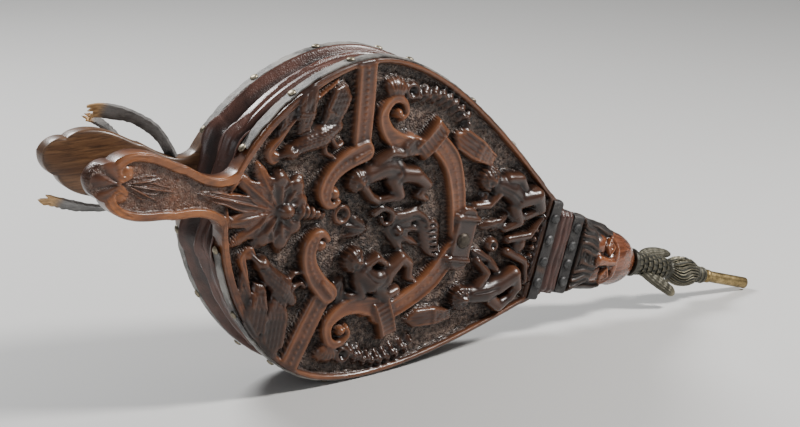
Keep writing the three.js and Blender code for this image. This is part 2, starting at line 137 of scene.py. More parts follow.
def add_floor():
    """The pale floor."""
    bpy.ops.mesh.primitive_plane_add(size=12, location=(0, 0, 0))
    floor = bpy.context.object
    floor.name = "floor"
    material = bpy.data.materials.new("pale_floor")
    material.use_nodes = True
    shader = material.node_tree.nodes["Principled BSDF"]
    shader.inputs["Base Color"].default_value = (0.62, 0.62, 0.61, 1)
    shader.inputs["Roughness"].default_value = 0.6
    floor.data.materials.append(material)


def add_studio():
    """One small key light, a fill, a light from behind and a dim surround."""
    middle = (0, 0, 0.13)
    add_light("key", (1.0, -0.7, 1.35), middle, 0.35, 44, (1, 0.97, 0.94))
    add_light("fill", (-1.6, -1.3, 0.9), middle, 0.8, 5, (0.93, 0.96, 1))
    add_light("back", (-0.4, 1.2, 1.3), middle, 0.6, 34)
    world = bpy.data.worlds.new("studio")
    world.use_nodes = True
    world.node_tree.nodes["Background"].inputs["Color"].default_value = (0.8, 0.82, 0.85, 1)
    world.node_tree.nodes["Background"].inputs["Strength"].default_value = 0.16
    bpy.context.scene.world = world


# ---- Node materials ----
class Shade:
    """A material's node tree, with short calls for the nodes used here."""

    def __init__(self, name):
        self.material = bpy.data.materials.new(name)
        self.material.use_nodes = True
        self.nodes = self.material.node_tree.nodes
        self.links = self.material.node_tree.links
        self.shader = self.nodes["Principled BSDF"]
        self.coords = self.nodes.new("ShaderNodeTexCoord").outputs["Object"]

    def link(self, source, node, socket):
        self.links.new(source, node.inputs[socket])

    def into(self, socket, source):
        self.links.new(source, self.shader.inputs[socket])

    def attribute(self, name):
        node = self.nodes.new("ShaderNodeAttribute")
        node.attribute_name = name
        return node.outputs["Fac"]

    def stretched(self, scale):
        node = self.nodes.new("ShaderNodeMapping")
        node.inputs["Scale"].default_value = scale
        node.inputs["Rotation"].default_value = (0, -TILT, 0)
        self.link(self.coords, node, "Vector")
        return node.outputs["Vector"]

    def noise(self, scale, detail=4, rough=0.55, where=None, warp=0):
        node = self.nodes.new("ShaderNodeTexNoise")
        node.inputs["Scale"].default_value = scale
        node.inputs["Detail"].default_value = detail
        node.inputs["Roughness"].default_value = rough
        node.inputs["Distortion"].default_value = warp
        self.link(where or self.coords, node, "Vector")
        return node.outputs["Fac"]

    def cells(self, scale, feature="F1"):
        node = self.nodes.new("ShaderNodeTexVoronoi")
        node.feature = feature
        node.inputs["Scale"].default_value = scale
        self.link(self.coords, node, "Vector")
        return node.outputs["Distance"]

    def ramp(self, source, *stops):
        """Values or colours by position: stops are (position, value)."""
        node = self.nodes.new("ShaderNodeValToRGB")
        elements = node.color_ramp.elements
        while len(elements) < len(stops):
            elements.new(0.5)
        for element, (position, value) in zip(elements, stops):
            element.position = position
            colour = value if isinstance(value, tuple) else (value, value, value)
            element.color = (*colour, 1)
        self.link(source, node, "Fac")
        return node.outputs["Color"]

    def mix(self, share, first, second, kind="MIX"):
        node = self.nodes.new("ShaderNodeMix")
        node.data_type = "RGBA"
        node.blend_type = kind
        for socket, value in ((0, share), (6, first), (7, second)):
            if isinstance(value, bpy.types.NodeSocket):
                self.links.new(value, node.inputs[socket])
            elif socket == 0:
                node.inputs[0].default_value = value
            else:
                node.inputs[socket].default_value = (*value, 1)
        return node.outputs[2]

    def between(self, source, low, high, first, second, most=1.0):
        """From first where source is at low to second, or most of it, where source is at high."""
        return self.mix(self.ramp(source, (low, 0.0), (high, most)), first, second)

    def maths(self, operation, first, second=0.5):
        node = self.nodes.new("ShaderNodeMath")
        node.operation = operation
        for socket, value in ((0, first), (1, second)):
            if isinstance(value, bpy.types.NodeSocket):
                self.links.new(value, node.inputs[socket])
            else:
                node.inputs[socket].default_value = value
        return node.outputs[0]

    def bump(self, *layers):
        """layers are (source, distance in metres), finest last."""
        normal = None
        for source, distance in layers:
            node = self.nodes.new("ShaderNodeBump")
            node.inputs["Strength"].default_value = 1
            node.inputs["Distance"].default_value = distance
            self.link(source, node, "Height")
            if normal:
                self.link(normal, node, "Normal")
            normal = node.outputs["Normal"]
        self.into("Normal", normal)

    def done(self, tone, rough=None, **values):
        """The finished material: its colour, its roughness if that varies, and its fixed values."""
        self.into("Base Color", tone)
        if rough:
            self.into("Roughness", rough)
        for name, value in values.items():
            self.shader.inputs[name.replace("_", " ")].default_value = value
        return self.material


def walnut(name, carved):
    """Old waxed walnut. On carved wood four attributes drive it: tone, from dark figures to rubbed
    straps, hollow for painted shade in the recesses, wear for edges, and field for the punched ground."""
    shade = Shade(name)
    grain = shade.noise(60, 6, 0.6, shade.stretched((0.35, 3, 3)), 1.2)
    pores = shade.noise(420, 3, 0.7, shade.stretched((0.12, 2, 2)))
    cloud = shade.noise(16, 3)
    if carved:
        blotch = shade.maths("ADD", shade.attribute("tone"),
                             shade.maths("MULTIPLY", shade.maths("SUBTRACT", shade.noise(38, 4), 0.5), 0.9))
        tone = shade.ramp(blotch, (0.05, (0.017, 0.008, 0.006)), (0.34, (0.042, 0.018, 0.012)),
                          (0.6, (0.12, 0.042, 0.019)), (1.0, (0.34, 0.12, 0.036)))
        streak = shade.ramp(grain, (0.3, 0.42), (0.5, 0.85), (0.7, 1.0))
        tone = shade.mix(1.0, tone, streak, "MULTIPLY")
        wear = shade.maths("MULTIPLY", shade.attribute("wear"), shade.ramp(cloud, (0.3, 0.25), (0.62, 0.7)))
        tone = shade.mix(wear, tone, (0.24, 0.09, 0.034))
        field = shade.attribute("field")
        dust = shade.maths("MULTIPLY", field, shade.ramp(shade.noise(300, 4), (0.4, 0.0), (0.62, 0.75)))
        tone = shade.mix(dust, tone, (0.27, 0.19, 0.145))
        # Painted shade: hollow darkens the recesses to near black.
        tone = shade.mix(shade.attribute("hollow"), tone, (0.007, 0.005, 0.004))
        stipple = shade.maths("MULTIPLY", shade.ramp(shade.cells(560), (0.1, 0.0), (0.6, 1.0)), field)
        shade.bump((stipple, 0.0012), (pores, 0.00018))
        rough = shade.mix(field, shade.ramp(cloud, (0.3, 0.22), (0.7, 0.4)), (0.55, 0.55, 0.55))
    else:
        tone = shade.ramp(grain, (0.3, (0.085, 0.038, 0.018)), (0.52, (0.155, 0.076, 0.034)),
                          (0.72, (0.23, 0.12, 0.056)))
        tone = shade.mix(shade.ramp(pores, (0.36, 0.7), (0.5, 0.0)), tone, (0.02, 0.01, 0.006))
        tone = shade.between(cloud, 0.35, 0.75, tone, (0.03, 0.014, 0.008), 0.5)
        shade.bump((grain, 0.00025), (pores, 0.0001))
        rough = shade.ramp(cloud, (0.3, 0.3), (0.7, 0.5))
    return shade.done(tone, rough, Coat_Weight=0.25, Coat_Roughness=0.16, Specular_IOR_Level=0.45)


def leather(name, brown, gloss):
    """Old leather; the attribute wear rubs the ridges lighter and browner."""
    shade = Shade(name)
    cloud = shade.noise(22, 5, 0.6)
    tone = shade.between(cloud, 0.38, 0.66, (0.014, 0.009, 0.008), brown)
    patches = shade.ramp(shade.noise(70, 4), (0.3, 0.3), (0.62, 1.0))
    rubbed = shade.maths("MULTIPLY", shade.attribute("wear"), patches)
    tone = shade.mix(rubbed, tone, tuple(min(c * 2.0 + 0.008, 1) for c in brown))
    tone = shade.between(shade.noise(9, 3), 0.56, 0.74, tone, (0.09, 0.08, 0.075), 0.35)
    wrinkles = shade.noise(130, 5, 0.65, warp=0.8)
    shade.bump((wrinkles, 0.0004), (shade.cells(900), 0.0002))
    return shade.done(tone, shade.ramp(cloud, (0.3, 0.26), (0.7, 0.48)),
                      Coat_Weight=gloss, Coat_Roughness=0.22, Specular_IOR_Level=0.5)


def worn_leather(name, dark=False):
    """A nailed strip: grey-black leather rubbed pale, with cracks along it."""
    shade = Shade(name)
    cloud = shade.noise(34, 5, 0.65)
    scuffs = shade.noise(150, 5, 0.7, shade.stretched((0.5, 2, 1)))
    pale = (0.07, 0.065, 0.06) if dark else (0.34, 0.325, 0.3)
    low, high = (0.54, 0.82) if dark else (0.36, 0.6)
    tone = shade.between(cloud, low, high, (0.022, 0.02, 0.02), pale, 0.9)
    tone = shade.between(scuffs, 0.55, 0.68, tone, tuple(c * 1.5 for c in pale), 0.6)
    tone = shade.between(shade.noise(60, 3), 0.6, 0.75, tone, (0.09, 0.04, 0.02), 0.6)
    shade.bump((scuffs, 0.0006), (shade.cells(800), 0.0002))
    return shade.done(tone, shade.ramp(cloud, (0.3, 0.4), (0.7, 0.66)), Specular_IOR_Level=0.5)


def torn_leather(name):
    """The carrying strap: dark grey outside, tan where it has torn."""
    shade = Shade(name)
    cloud = shade.noise(60, 6, 0.7, shade.stretched((0.6, 1.5, 1.5)))
    tone = shade.between(cloud, 0.35, 0.7, (0.06, 0.058, 0.057), (0.3, 0.29, 0.28), 0.9)
    fibres = shade.noise(500, 4, 0.6, shade.stretched((0.2, 2, 2)))
    tan = shade.between(fibres, 0.35, 0.6, (0.26, 0.13, 0.05), (0.68, 0.43, 0.2))
    tone = shade.mix(shade.attribute("torn"), tone, tan)
    shade.bump((cloud, 0.0008), (fibres, 0.0004))
    return shade.done(tone, shade.ramp(cloud, (0.3, 0.45), (0.7, 0.7)))


def suede(name, colour):
    """Soft leather or plain wood with a short nap."""
    shade = Shade(name)
    tone = shade.between(shade.noise(45, 5), 0.3, 0.7, tuple(c * 0.6 for c in colour), colour)
    shade.bump((shade.noise(900, 3), 0.0003))
    return shade.done(tone, Roughness=0.85)


def metal(name, colour, rough, metallic):
    """Dull worn metal with darker pits and brighter rubs."""
    if name in bpy.data.materials:
        return bpy.data.materials[name]
    shade = Shade(name)
    cloud = shade.noise(120, 5, 0.65)
    pits = shade.noise(700, 4, 0.7)
    dark = tuple(c * 0.35 for c in colour)
    bright = tuple(min(c * 1.9, 1) for c in colour)
    tone = shade.ramp(cloud, (0.32, dark), (0.52, colour), (0.72, bright))
    tone = shade.mix(shade.ramp(pits, (0.32, 0.8), (0.46, 0.0)), tone, (0.012, 0.011, 0.01))
    shade.bump((cloud, 0.0003), (pits, 0.00015))
    return shade.done(tone, shade.ramp(pits, (0.3, min(rough + 0.25, 1)), (0.7, rough)),
                      Metallic=metallic)


def bronze(name):
    """Dark grey-green bronze; wear brings up the metal, hollow holds the patina."""
    shade = Shade(name)
    cloud = shade.noise(90, 5)
    tone = shade.between(cloud, 0.35, 0.7, (0.035, 0.034, 0.028), (0.095, 0.092, 0.076))
    tone = shade.mix(shade.attribute("wear"), tone, (0.27, 0.24, 0.16))
    tone = shade.mix(shade.attribute("hollow"), tone, (0.012, 0.014, 0.011))
    shade.bump((shade.noise(600, 4, 0.7), 0.0004))
    return shade.done(tone, shade.ramp(cloud, (0.3, 0.34), (0.7, 0.55)), Metallic=0.75)


def painted_head(name):
    """The mask: black hair, and a face waxed to a glossy orange brown."""
    shade = Shade(name)
    grain = shade.noise(90, 6, 0.6, shade.stretched((0.5, 2.4, 2.4)), 1.0)
    skin = shade.ramp(grain, (0.3, (0.05, 0.017, 0.009)), (0.52, (0.15, 0.045, 0.017)),
                      (0.75, (0.27, 0.085, 0.026)))
    streaks = shade.noise(240, 4, 0.6, shade.stretched((0.3, 2, 2)))
    hair = shade.between(streaks, 0.4, 0.62, (0.006, 0.005, 0.005), (0.02, 0.015, 0.012))
    field = shade.attribute("field")
    tone = shade.mix(field, skin, hair)
    tone = shade.mix(shade.maths("MULTIPLY", shade.attribute("wear"), 0.5), tone, (0.36, 0.13, 0.045))
    # Painted shade: hollow darkens the recesses of the face and hair to near black.
    tone = shade.mix(shade.attribute("hollow"), tone, (0.01, 0.006, 0.005))
    shade.bump((grain, 0.00025), (streaks, 0.00015))
    shade.into("Coat Weight", shade.ramp(field, (0.1, 0.6), (0.9, 0.05)))
    rough = shade.mix(field, shade.ramp(grain, (0.3, 0.2), (0.7, 0.36)), (0.5, 0.5, 0.5))
    return shade.done(tone, rough, Coat_Roughness=0.14)


def dress_frame():
    """Materials for the CAD nodes that stay as they are."""
    wood = walnut("valve_walnut", False)
    for nodes, material in (
        (("valve_batten", "valve_pad"), wood),
        (("valve_flap",), suede("valve_suede", (0.4, 0.24, 0.13))),
        (("fold_hoop",), suede("hoop_ash", (0.42, 0.29, 0.16))),
        (("head_screw_1", "head_screw_2"), metal("screw_iron", (0.2, 0.18, 0.16), 0.4, 0.9)),
    ):
        for node in nodes:
            for slot in frame["nodes"][node].material_slots:
                slot.material = material


# ---- Mesh helpers ----
def make_piece(name, shape, material, body, matrix=STANCE, crease=40):
    """A closed mesh, given as (points in millimetres, faces), in the row frame and riding on a body."""
    verts, faces = shape
    mesh = bpy.data.meshes.new(name)
    mesh.from_pydata([tuple(p) for p in verts], [], faces)
    mesh.transform(matrix @ TO_METRES)
    mesh.shade_smooth()
    mesh.set_sharp_from_angle(angle=math.radians(crease))
    mesh.materials.append(material)
    piece = bpy.data.objects.new(name, mesh)
    bpy.context.scene.collection.objects.link(piece)
    if body:
        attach(piece, body)
    return face_out(piece)


def face_out(piece):
    """Turns every face outwards."""
    mesh = piece.data
    shape = bmesh.new()
    shape.from_mesh(mesh)
    bmesh.ops.recalc_face_normals(shape, faces=shape.faces)
    shape.to_mesh(mesh)
    shape.free()
    mesh.update()
    return piece


def set_values(piece, **attributes):
    """Stores one number per vertex under each name, for the material to read."""
    for name, values in attributes.items():
        layer = piece.data.attributes.new(name, "FLOAT", "POINT")
        layer.data.foreach_set("value", np.asarray(values, np.float32).ravel())


# ---- Outline of the boards ----
def bezier(points, steps):
    """A cubic curve through its four control points."""
    t = np.linspace(0, 1, steps)[:, None]
    a, b, c, d = (np.array(p, float) for p in points)
    return (1 - t) ** 3 * a + 3 * (1 - t) ** 2 * t * b + 3 * (1 - t) * t ** 2 * c + t ** 3 * d


def outline():
    """Half the boards' outline as (s, half width), from the neck to the handle's end."""
    kink, shell = (379, 21), (440, 15)
    curves = [
        [(0, NECK_HALF), (60, 75), (140, BELLY[1]), BELLY],
        [BELLY, (262, BELLY[1]), (318, 78), ROOT],
        [ROOT, (337, 18), (343, WAIST[1]), WAIST],
        [WAIST, (362, WAIST[1]), (370, 19), kink],
        [kink, (385, 20), (398, GRIP[1]), GRIP],
        [GRIP, (426, GRIP[1]), (436, 21), shell],
        [shell, (447, 15), (LENGTH, 9), (LENGTH, 0)],
    ]
    return np.concatenate([bezier(c, 60)[:-1] for c in curves])


OUTLINE = outline()


def half_width(s):
    """Half the width of a board at s."""
    return np.interp(s, OUTLINE[:, 0], OUTLINE[:, 1])


def smooth(x, low, high):
    """Eases from 0 at low to 1 at high."""
    t = np.clip((x - low) / (high - low), 0, 1)
    return t * t * (3 - 2 * t)


def run_along(path):
    """Length of the path up to each of its points."""
    return np.concatenate([[0], np.cumsum(np.linalg.norm(np.diff(path, axis=0), axis=1))])


def evened(path, steps):
    """The path in even steps, its normals and the length run at each step."""
    run = run_along(path)
    even = np.linspace(0, run[-1], steps)
    path = np.stack([np.interp(even, run, path[:, 0]), np.interp(even, run, path[:, 1])], 1)
    along = np.gradient(path, axis=0)
    along /= np.linalg.norm(along, axis=1, keepdims=True)
    return path, np.stack([-along[:, 1], along[:, 0]], 1), even


def spread(values, count):
    """Values spaced evenly over count places."""
    return np.interp(np.linspace(0, 1, count), np.linspace(0, 1, len(values)), values)


def averaged(values, reach):
    """Running mean over reach places to each side."""
    size = 2 * reach + 1
    return np.convolve(np.pad(values, reach, mode="edge"), np.ones(size) / size, "valid")


def grid_of(x, y, z):
    """A grid of points from its three coordinates."""
    return np.stack(np.broadcast_arrays(x, y, z), -1).astype(float)


# ---- Carving: heights above the ground over the board's plane ----
class Carving:
    """A height field over points (s, v). Each call raises it where its form stands.

    tint is the polish of the forms that follow, from 0, dark and glossy, to 1, rubbed orange-brown.
    """

    def __init__(self, s, v, start, tint=0.0):
        self.s, self.v = s, v
        self.height = start
        self.tint = tint
        self.tone = np.full(start.shape, float(tint))

    def near(self, s, v, reach):
        """The points in a square about (s, v)."""
        return (abs(self.s - s) < reach) & (abs(self.v - v) < reach)

    def turned(self, mask, s, v, turn):
        """Distance from (s, v) along turn and across it, for the masked points."""
        ds, dv = self.s[mask] - s, self.v[mask] - v
        c, n = math.cos(turn), math.sin(turn)
        return ds * c + dv * n, dv * c - ds * n

    def raise_to(self, mask, height, inside):
        """Lifts the masked points to a height where that is higher, and gives them the tint."""
        old, tone = self.height[mask], self.tone[mask]
        grown = inside & (height > old)
        self.height[mask] = np.where(grown, height, old)
        self.tone[mask] = np.where(grown, self.tint, tone)

    def blob(self, s, v, long, wide, tall, turn=0, power=0.5):
        """A rounded lump; power below 0.5 makes it fuller."""
        mask = self.near(s, v, max(long, wide) + 1)
        along, across = self.turned(mask, s, v, turn)
        q = (along / long) ** 2 + (across / wide) ** 2
        self.raise_to(mask, tall * np.maximum(1 - q, 0) ** power, q < 1)

    def gaps(self, mask, path):
        """Distance from every masked point to every point of a path."""
        return np.hypot(self.s[mask][:, None] - path[None, :, 0],
                        self.v[mask][:, None] - path[None, :, 1])

    def around(self, path, reach):
        """The points in a box round a path."""
        low, high = path.min(0) - reach, path.max(0) + reach
        return (self.s > low[0]) & (self.s < high[0]) & (self.v > low[1]) & (self.v < high[1])

    def dent(self, s, v, radius, deep):
        """A round hollow."""
        mask = self.near(s, v, radius)
        q = ((self.s[mask] - s) ** 2 + (self.v[mask] - v) ** 2) / radius ** 2
        self.height[mask] -= deep * np.maximum(1 - q, 0)

    def cut_line(self, points, wide, deep):
        """A V-shaped cut along a smooth curve."""
        path = spline(points, 60)
        mask = self.around(path, wide)
        gaps = self.gaps(mask, path)
        self.height[mask] -= deep * np.maximum(1 - gaps.min(1) / wide, 0)

    def limb(self, points, radii, tops):
        """A tapering rounded limb through points; radii and top heights at each."""
        for i in range(len(points) - 1):
            a, b = np.array(points[i], float), np.array(points[i + 1], float)
            centre, reach = (a + b) / 2, np.linalg.norm(b - a) / 2 + max(radii[i:i + 2]) + 2
            mask = self.near(*centre, reach)
            ds, dv = self.s[mask] - a[0], self.v[mask] - a[1]
            along = b - a
            t = np.clip((ds * along[0] + dv * along[1]) / max(along @ along, 1e-9), 0, 1)
            gap = np.hypot(ds - t * along[0], dv - t * along[1])
            radius = radii[i] + (radii[i + 1] - radii[i]) * t
            top = tops[i] + (tops[i + 1] - tops[i]) * t
            bulge = np.sqrt(np.maximum(radius ** 2 - gap ** 2, 0))
            wall = 1 - smooth(gap, radius - WALL / 3, radius + WALL)
            self.raise_to(mask, (top - radius + bulge) * wall, gap < radius + WALL)

    def ribbon(self, points, widths, top, lip=1.6, bead=0, dish=1.1):
        """A flat strap along a smooth curve, with raised edges and a row of beads."""
        path = spline(points, 90)
        width = spread(widths, len(path)) / 2
        mask = self.around(path, max(widths) / 2 + 3)
        gaps = self.gaps(mask, path)
        nearest = gaps.argmin(1)
        gap = gaps.min(1)
        half = width[nearest]
        run = run_along(path)[nearest]
        level = np.full(len(gap), float(top))
        level -= dish * smooth(half - lip - gap, 0, 1.1)
        if bead:
            beads = np.maximum(0, 1 - ((run % bead - bead / 2) ** 2 + gap ** 2) / (bead * 0.3) ** 2)
            level += 1.4 * np.sqrt(beads) * (half > 4)
        level *= 1 - smooth(gap, half - WALL / 2, half + WALL)
        self.raise_to(mask, level, gap < half + WALL)

    def ruffle(self, points, reach, pitch, deep):
        """Overlapping feather tips cut into a body that follows points."""
        path = spline(points, 40)
        mask = self.around(path, reach)
        gaps = self.gaps(mask, path)
        row = np.floor(self.s[mask] / pitch)
        tip = np.abs(np.cos(math.pi * (self.v[mask] / pitch + 0.5 * row)))
        cut_in = (1 - tip ** 0.5 * (1 - 0.5 * (self.s[mask] / pitch - row)))
        self.height[mask] -= deep * cut_in * (1 - smooth(gaps.min(1), reach - 2, reach))

    def leaf(self, s, v, long, wide, turn, top, lobes=0, veins=2, bend=0.0):
        """A leaf from its base, pointing along turn, hollow with a raised rib and edges."""
        mask = self.near(s, v, long + wide)
        along, across = self.turned(mask, s, v, turn)
        t = along / long
        inside = (t > 0) & (t < 1)
        t = np.clip(t, 0, 1)
        across = across - bend * long * t * t
        half = wide / 2 * np.sin(np.pi * t ** 0.75) ** 0.6
        if lobes:
            half = half * (0.8 + 0.2 * np.abs(np.sin(np.pi * lobes * t)))
        edge = np.clip(np.abs(across) / np.maximum(half, 0.2), 0, 1)
        level = top * (0.6 + 0.4 * np.sin(np.pi * np.clip(t, 0.12, 0.88)))
        level = level - 2.0 * np.sin(np.pi * edge)
        level += 0.45 * np.cos(edge * np.pi * 2 * veins) * (edge < 0.9)
        level *= 1 - smooth(np.abs(across), half - WALL / 2, half + WALL)
        self.raise_to(mask, level, inside & (np.abs(across) < half + WALL))

    def wing(self, s, v, long, wide, turn, top, quills, bend=0.0):
        """A wing: a broad blade of overlapping quills, with scale-like coverts at its root."""
        mask = self.near(s, v, long + wide)
        along, across = self.turned(mask, s, v, turn)
        t = along / long
        across = across - bend * long * t * t
        half = wide / 2 * (0.62 + 0.38 * smooth(t, 0, 0.45)) * (1 - 0.35 * smooth(t, 0.75, 1))
        place = across / half
        quill = np.abs(np.cos(np.pi * quills / 2 * place))
        tip = 1 - 0.16 * place ** 2 - 0.05 * (1 - quill)
        inside = (t > -0.04) & (t < tip) & (np.abs(across) < half + WALL)
        level = top * (0.62 + 0.38 * np.sin(np.pi * np.clip(t, 0, 1) * 0.8 + 0.35))
        level -= 1.5 * (1 - quill) ** 3 + 0.5 * smooth(place, -1, 1)
        covert = np.abs(np.cos(np.pi * (quills / 2 * place + 0.5 * np.floor(t * long / 4.5))))
        level += (0.9 * covert + 0.9 * (t * long / 4.5 % 1)) * (t < 0.42)
        level += 0.9 * smooth(np.abs(place), 0.72, 0.9)
        level *= 1 - smooth(np.abs(across), half - WALL / 2, half + WALL)
        level *= 1 - smooth(t, tip - 1.2 / long, tip)
        self.raise_to(mask, level, inside)


def spline(points, steps):
    """A smooth curve through points (Catmull-Rom), evenly enough sampled."""
    p = np.array(points, float)
    p = np.vstack([2 * p[0] - p[1], p, 2 * p[-1] - p[-2]])
    spans = len(p) - 3
    out = []
    for u in np.linspace(0, spans, steps):
        i = min(int(u), spans - 1)
        t = u - i
        a, b, c, d = p[i:i + 4]
        out.append(0.5 * (2 * b + (c - a) * t + (2 * a - 5 * b + 4 * c - d) * t ** 2
                          + (3 * b - a - 3 * c + d) * t ** 3))
    return np.array(out)


def mirrored(side, points, shift=0):
    """Points given for the upper half, shifted out and put on the side of side, 1 or -1."""
    return [(s, side * (v + shift)) for s, v in points]


def carve_volute_bar(field, side):
    """A beaded bar from the rim that elbows into a volute by the middle."""
    field.tint = 0.5
    shift = 0 if side > 0 else 5
    bar = [(240, side * 121), (233, side * 92), (226, side * (60 + shift))]
    field.ribbon(bar, [18, 18, 17], 9, bead=4.6)
    volute = [(222, 55), (236, 46), (247, 34), (251, 20), (247, 11), (240, 9), (235, 13)]
    field.ribbon(mirrored(side, volute, shift), [17, 16, 14, 13, 9, 6, 5], 11, bead=4.6)
    field.blob(240.5, side * (18.5 + shift), 5.5, 5.5, 11.5, power=0.25)
    field.limb(mirrored(side, [(219, 56), (231, 47)], shift), [2, 2], [11.5, 12])


def carve_scroll(field, side):
    """The bracket beyond the collar, ending in a volute."""
    field.tint = 0.62
    curl = [(174, 66), (188, 66), (203, 72), (213, 85), (208, 98), (197, 99), (191, 91), (194, 85)]
    field.ribbon(mirrored(side, curl), [17, 16, 13, 10, 8, 6, 5, 4], 9.5, lip=1.8)
    field.blob(199, side * 89, 4.6, 4.6, 10.5, power=0.25)
    field.blob(180, side * 68, 8, 9, 8.6, power=0.3)


def carve_collar(field, side):
    """The fluted collar that clasps the strap."""
    field.tint = 0.42
    mid_s, mid_v = 160, 74 * side
    half_long, half_wide = 8.5, 17
    mask = field.near(mid_s, mid_v, 26)
    along, across = field.turned(mask, mid_s, mid_v, math.atan2(0.55 * side, 0.85))
    bow = np.sqrt(np.maximum(1 - (across / (half_wide + 4)) ** 2, 0))
    flute = 1.7 * np.abs(np.sin(across * math.pi / 4.2)) ** 0.7 * (np.abs(along) < 5.6)
    flange = 1.1 * smooth(np.abs(along), 5.2, 6.8)
    level = 7 + 5.5 * bow + flange - flute
    level *= 1 - smooth(np.abs(along), half_long - WALL, half_long + WALL)
    level *= 1 - smooth(np.abs(across), half_wide - WALL, half_wide + WALL)
    field.raise_to(mask, level, (np.abs(along) < half_long + WALL) & (np.abs(across) < half_wide + WALL))


def carve_arc(field):
    """The curved strap with the boss at its middle."""
    field.tint = 0.58
    upper = [(158, 74), (146, 69), (132, 58), (121, 40), (113, 20), (108, 4)]
    lower = [(105, -6), (113, -22), (122, -38), (134, -51), (150, -64), (166, -72)]
    for path in (upper, lower):
        field.ribbon(path, [17, 18, 18, 17, 16, 16], 9, lip=2.4, bead=4.2, dish=1.5)
    field.tint = 0.25
    field.ribbon([(102, 15), (101, -17)], [22, 22], 11, lip=2, dish=0.5)
    for v in (16, -19):
        field.limb([(113, v), (91, v + 1)], [2.6, 2.6], [12.8, 12.8])
    field.blob(101.5, -2, 9.5, 9.5, 12.5, power=0.2)
    field.dent(101.5, -2, 7.2, 2.6)


def carve_rosette(field):
    """The acanthus that spreads towards the handle, on its ringed stem."""
    field.tint = 0.55
    for turn, long, wide, bend in ((0.05, 76, 13, 0), (0.36, 56, 15, 0.1), (-0.3, 66, 13, -0.05),
                                   (0.72, 46, 16, 0.12), (-0.62, 50, 15, -0.12)):
        field.leaf(286, -2, long, wide, turn, 9, lobes=3, bend=bend)
    field.tint = 0.3
    for turn, long, wide in ((1.25, 35, 21), (1.95, 33, 20), (-1.1, 36, 21), (-1.85, 34, 20),
                             (2.6, 26, 16), (-2.6, 26, 16)):
        field.leaf(285, -2, long, wide, turn, 9.5, lobes=0, veins=1)
        tip_s, tip_v = 285 + math.cos(turn) * long * 0.7, -2 + math.sin(turn) * long * 0.7
        field.blob(tip_s, tip_v, 8.5, 8.5, 10.5, power=0.6)
        field.dent(tip_s, tip_v, 4.5, 1.8)
    field.blob(281, -1, 9, 8, 14)
    for i in range(5):
        field.blob(267 - i * 5.5, 0.5, 3.2, 8.5 - i * 0.9, 12 - i * 0.8, power=0.35)
    field.blob(225, 2.5, 9, 9, 7, power=0.3)
    field.dent(225, 2.5, 6, 8)


def carve_bird(field, side):
    """A bird on the strap: its head towards the handle, its wings raised to the rim."""
    field.tint = 0.22
    if side > 0:
        wings = ((303, 50, 42, 10, 0.25, 6.5, 3, -0.05), (283, 60, 40, 16, -0.16, 9.5, 4, 0.06),
                 (263, 62, 44, 19, 0.22, 8.5, 6, 0.0))
    else:
        wings = ((303, 52, 42, 11, -0.25, 7, 3, 0.05), (287, 60, 46, 17, -0.1, 11, 4, -0.04),
                 (268, 62, 58, 22, -0.12, 10, 6, -0.03))
    for s, v, long, wide, lean, top, quills, bend in wings:
        field.wing(s, side * v, long, wide, side * math.pi / 2 + lean, top, quills, bend)
    body = mirrored(side, [(288, 46), (279, 53), (266, 60), (252, 70)])
    field.limb(body, [6, 8, 10.5, 6], [12, 13.5, 14, 9])
    field.blob(290, side * 44, 8, 7, 14.5)
    field.limb(mirrored(side, [(295, 43), (303, 37)]), [3.2, 1.0], [12, 7])
    field.dent(291, side * 47.5, 2, 2.4)
    field.ruffle(mirrored(side, [(284, 49), (270, 57), (252, 70)]), 11, 3.6, 2.6)
    for leg in ([(256, 60), (249, 54), (244, 58)], [(262, 56), (258, 48), (250, 46)]):
        field.limb(mirrored(side, leg), [2.4, 1.8, 1.8], [9, 9, 8])


def carve_head(field, s, v, size, turn, top):
    """A small round head with curls; its crown points along turn."""
    c, n = math.cos(turn), math.sin(turn)
    at = lambda a, b: (s + (a * c - b * n) * size, v + (a * n + b * c) * size)
    field.tint = 0.12
    field.blob(s, v, size, size * 0.92, top, turn, 0.45)
    field.tint = 0.0
    for i in range(11):
        angle = math.radians(-115 + 23 * i)
        field.blob(*at(0.84 * math.cos(angle), 0.84 * math.sin(angle)), size * 0.27, size * 0.22,
                   top * 0.88, angle)
    for i in range(6):
        angle = math.radians(-75 + 30 * i)
        field.blob(*at(0.54 * math.cos(angle), 0.58 * math.sin(angle)), size * 0.22, size * 0.18,
                   top * 1.02, angle)
    field.tint = 0.3
    for b in (-0.32, 0.32):
        field.dent(*at(0.02, b), size * 0.21, 2.2)
        field.blob(*at(-0.3, b * 1.25), size * 0.3, size * 0.26, top * 0.95)
    field.limb([at(0.12, 0), at(-0.28, 0)], [size * 0.09, size * 0.15], [top, top * 1.1])
    field.dent(*at(-0.5, 0), size * 0.17, 1.5)
    field.blob(*at(-0.7, 0), size * 0.2, size * 0.22, top * 0.9)
    field.tint = 0.12


def carve_upper_inner_putto(field):
    """A winged child by the arc, its head towards the handle."""
    carve_head(field, 222, 31, 10, 0.5, 15)
    field.limb([(212, 38), (200, 45), (186, 45)], [9, 10, 9.5], [14, 15, 14])
    field.limb([(208, 48), (198, 58), (186, 58)], [4.6, 4, 3.5], [13, 14, 12])
    field.wing(188, 56, 24, 13, math.pi - 0.75, 11, 4)
    field.tint = 0.2
    field.limb([(186, 42), (168, 44), (153, 38)], [8, 7, 5], [15, 16, 13])
    field.limb([(153, 38), (158, 28), (148, 26)], [4.6, 3.6, 2.8], [12, 10, 9])
    field.limb([(188, 37), (178, 26), (192, 20)], [7.5, 5.5, 4], [14, 13, 10])
    field.limb([(214, 27), (204, 20), (196, 18)], [4.5, 4, 4.5], [12, 11, 9])
    field.cut_line([(212, 36), (200, 43), (188, 44)], 1.5, 1.2)
    field.cut_line([(190, 52), (184, 44), (186, 36)], 1.4, 1.4)


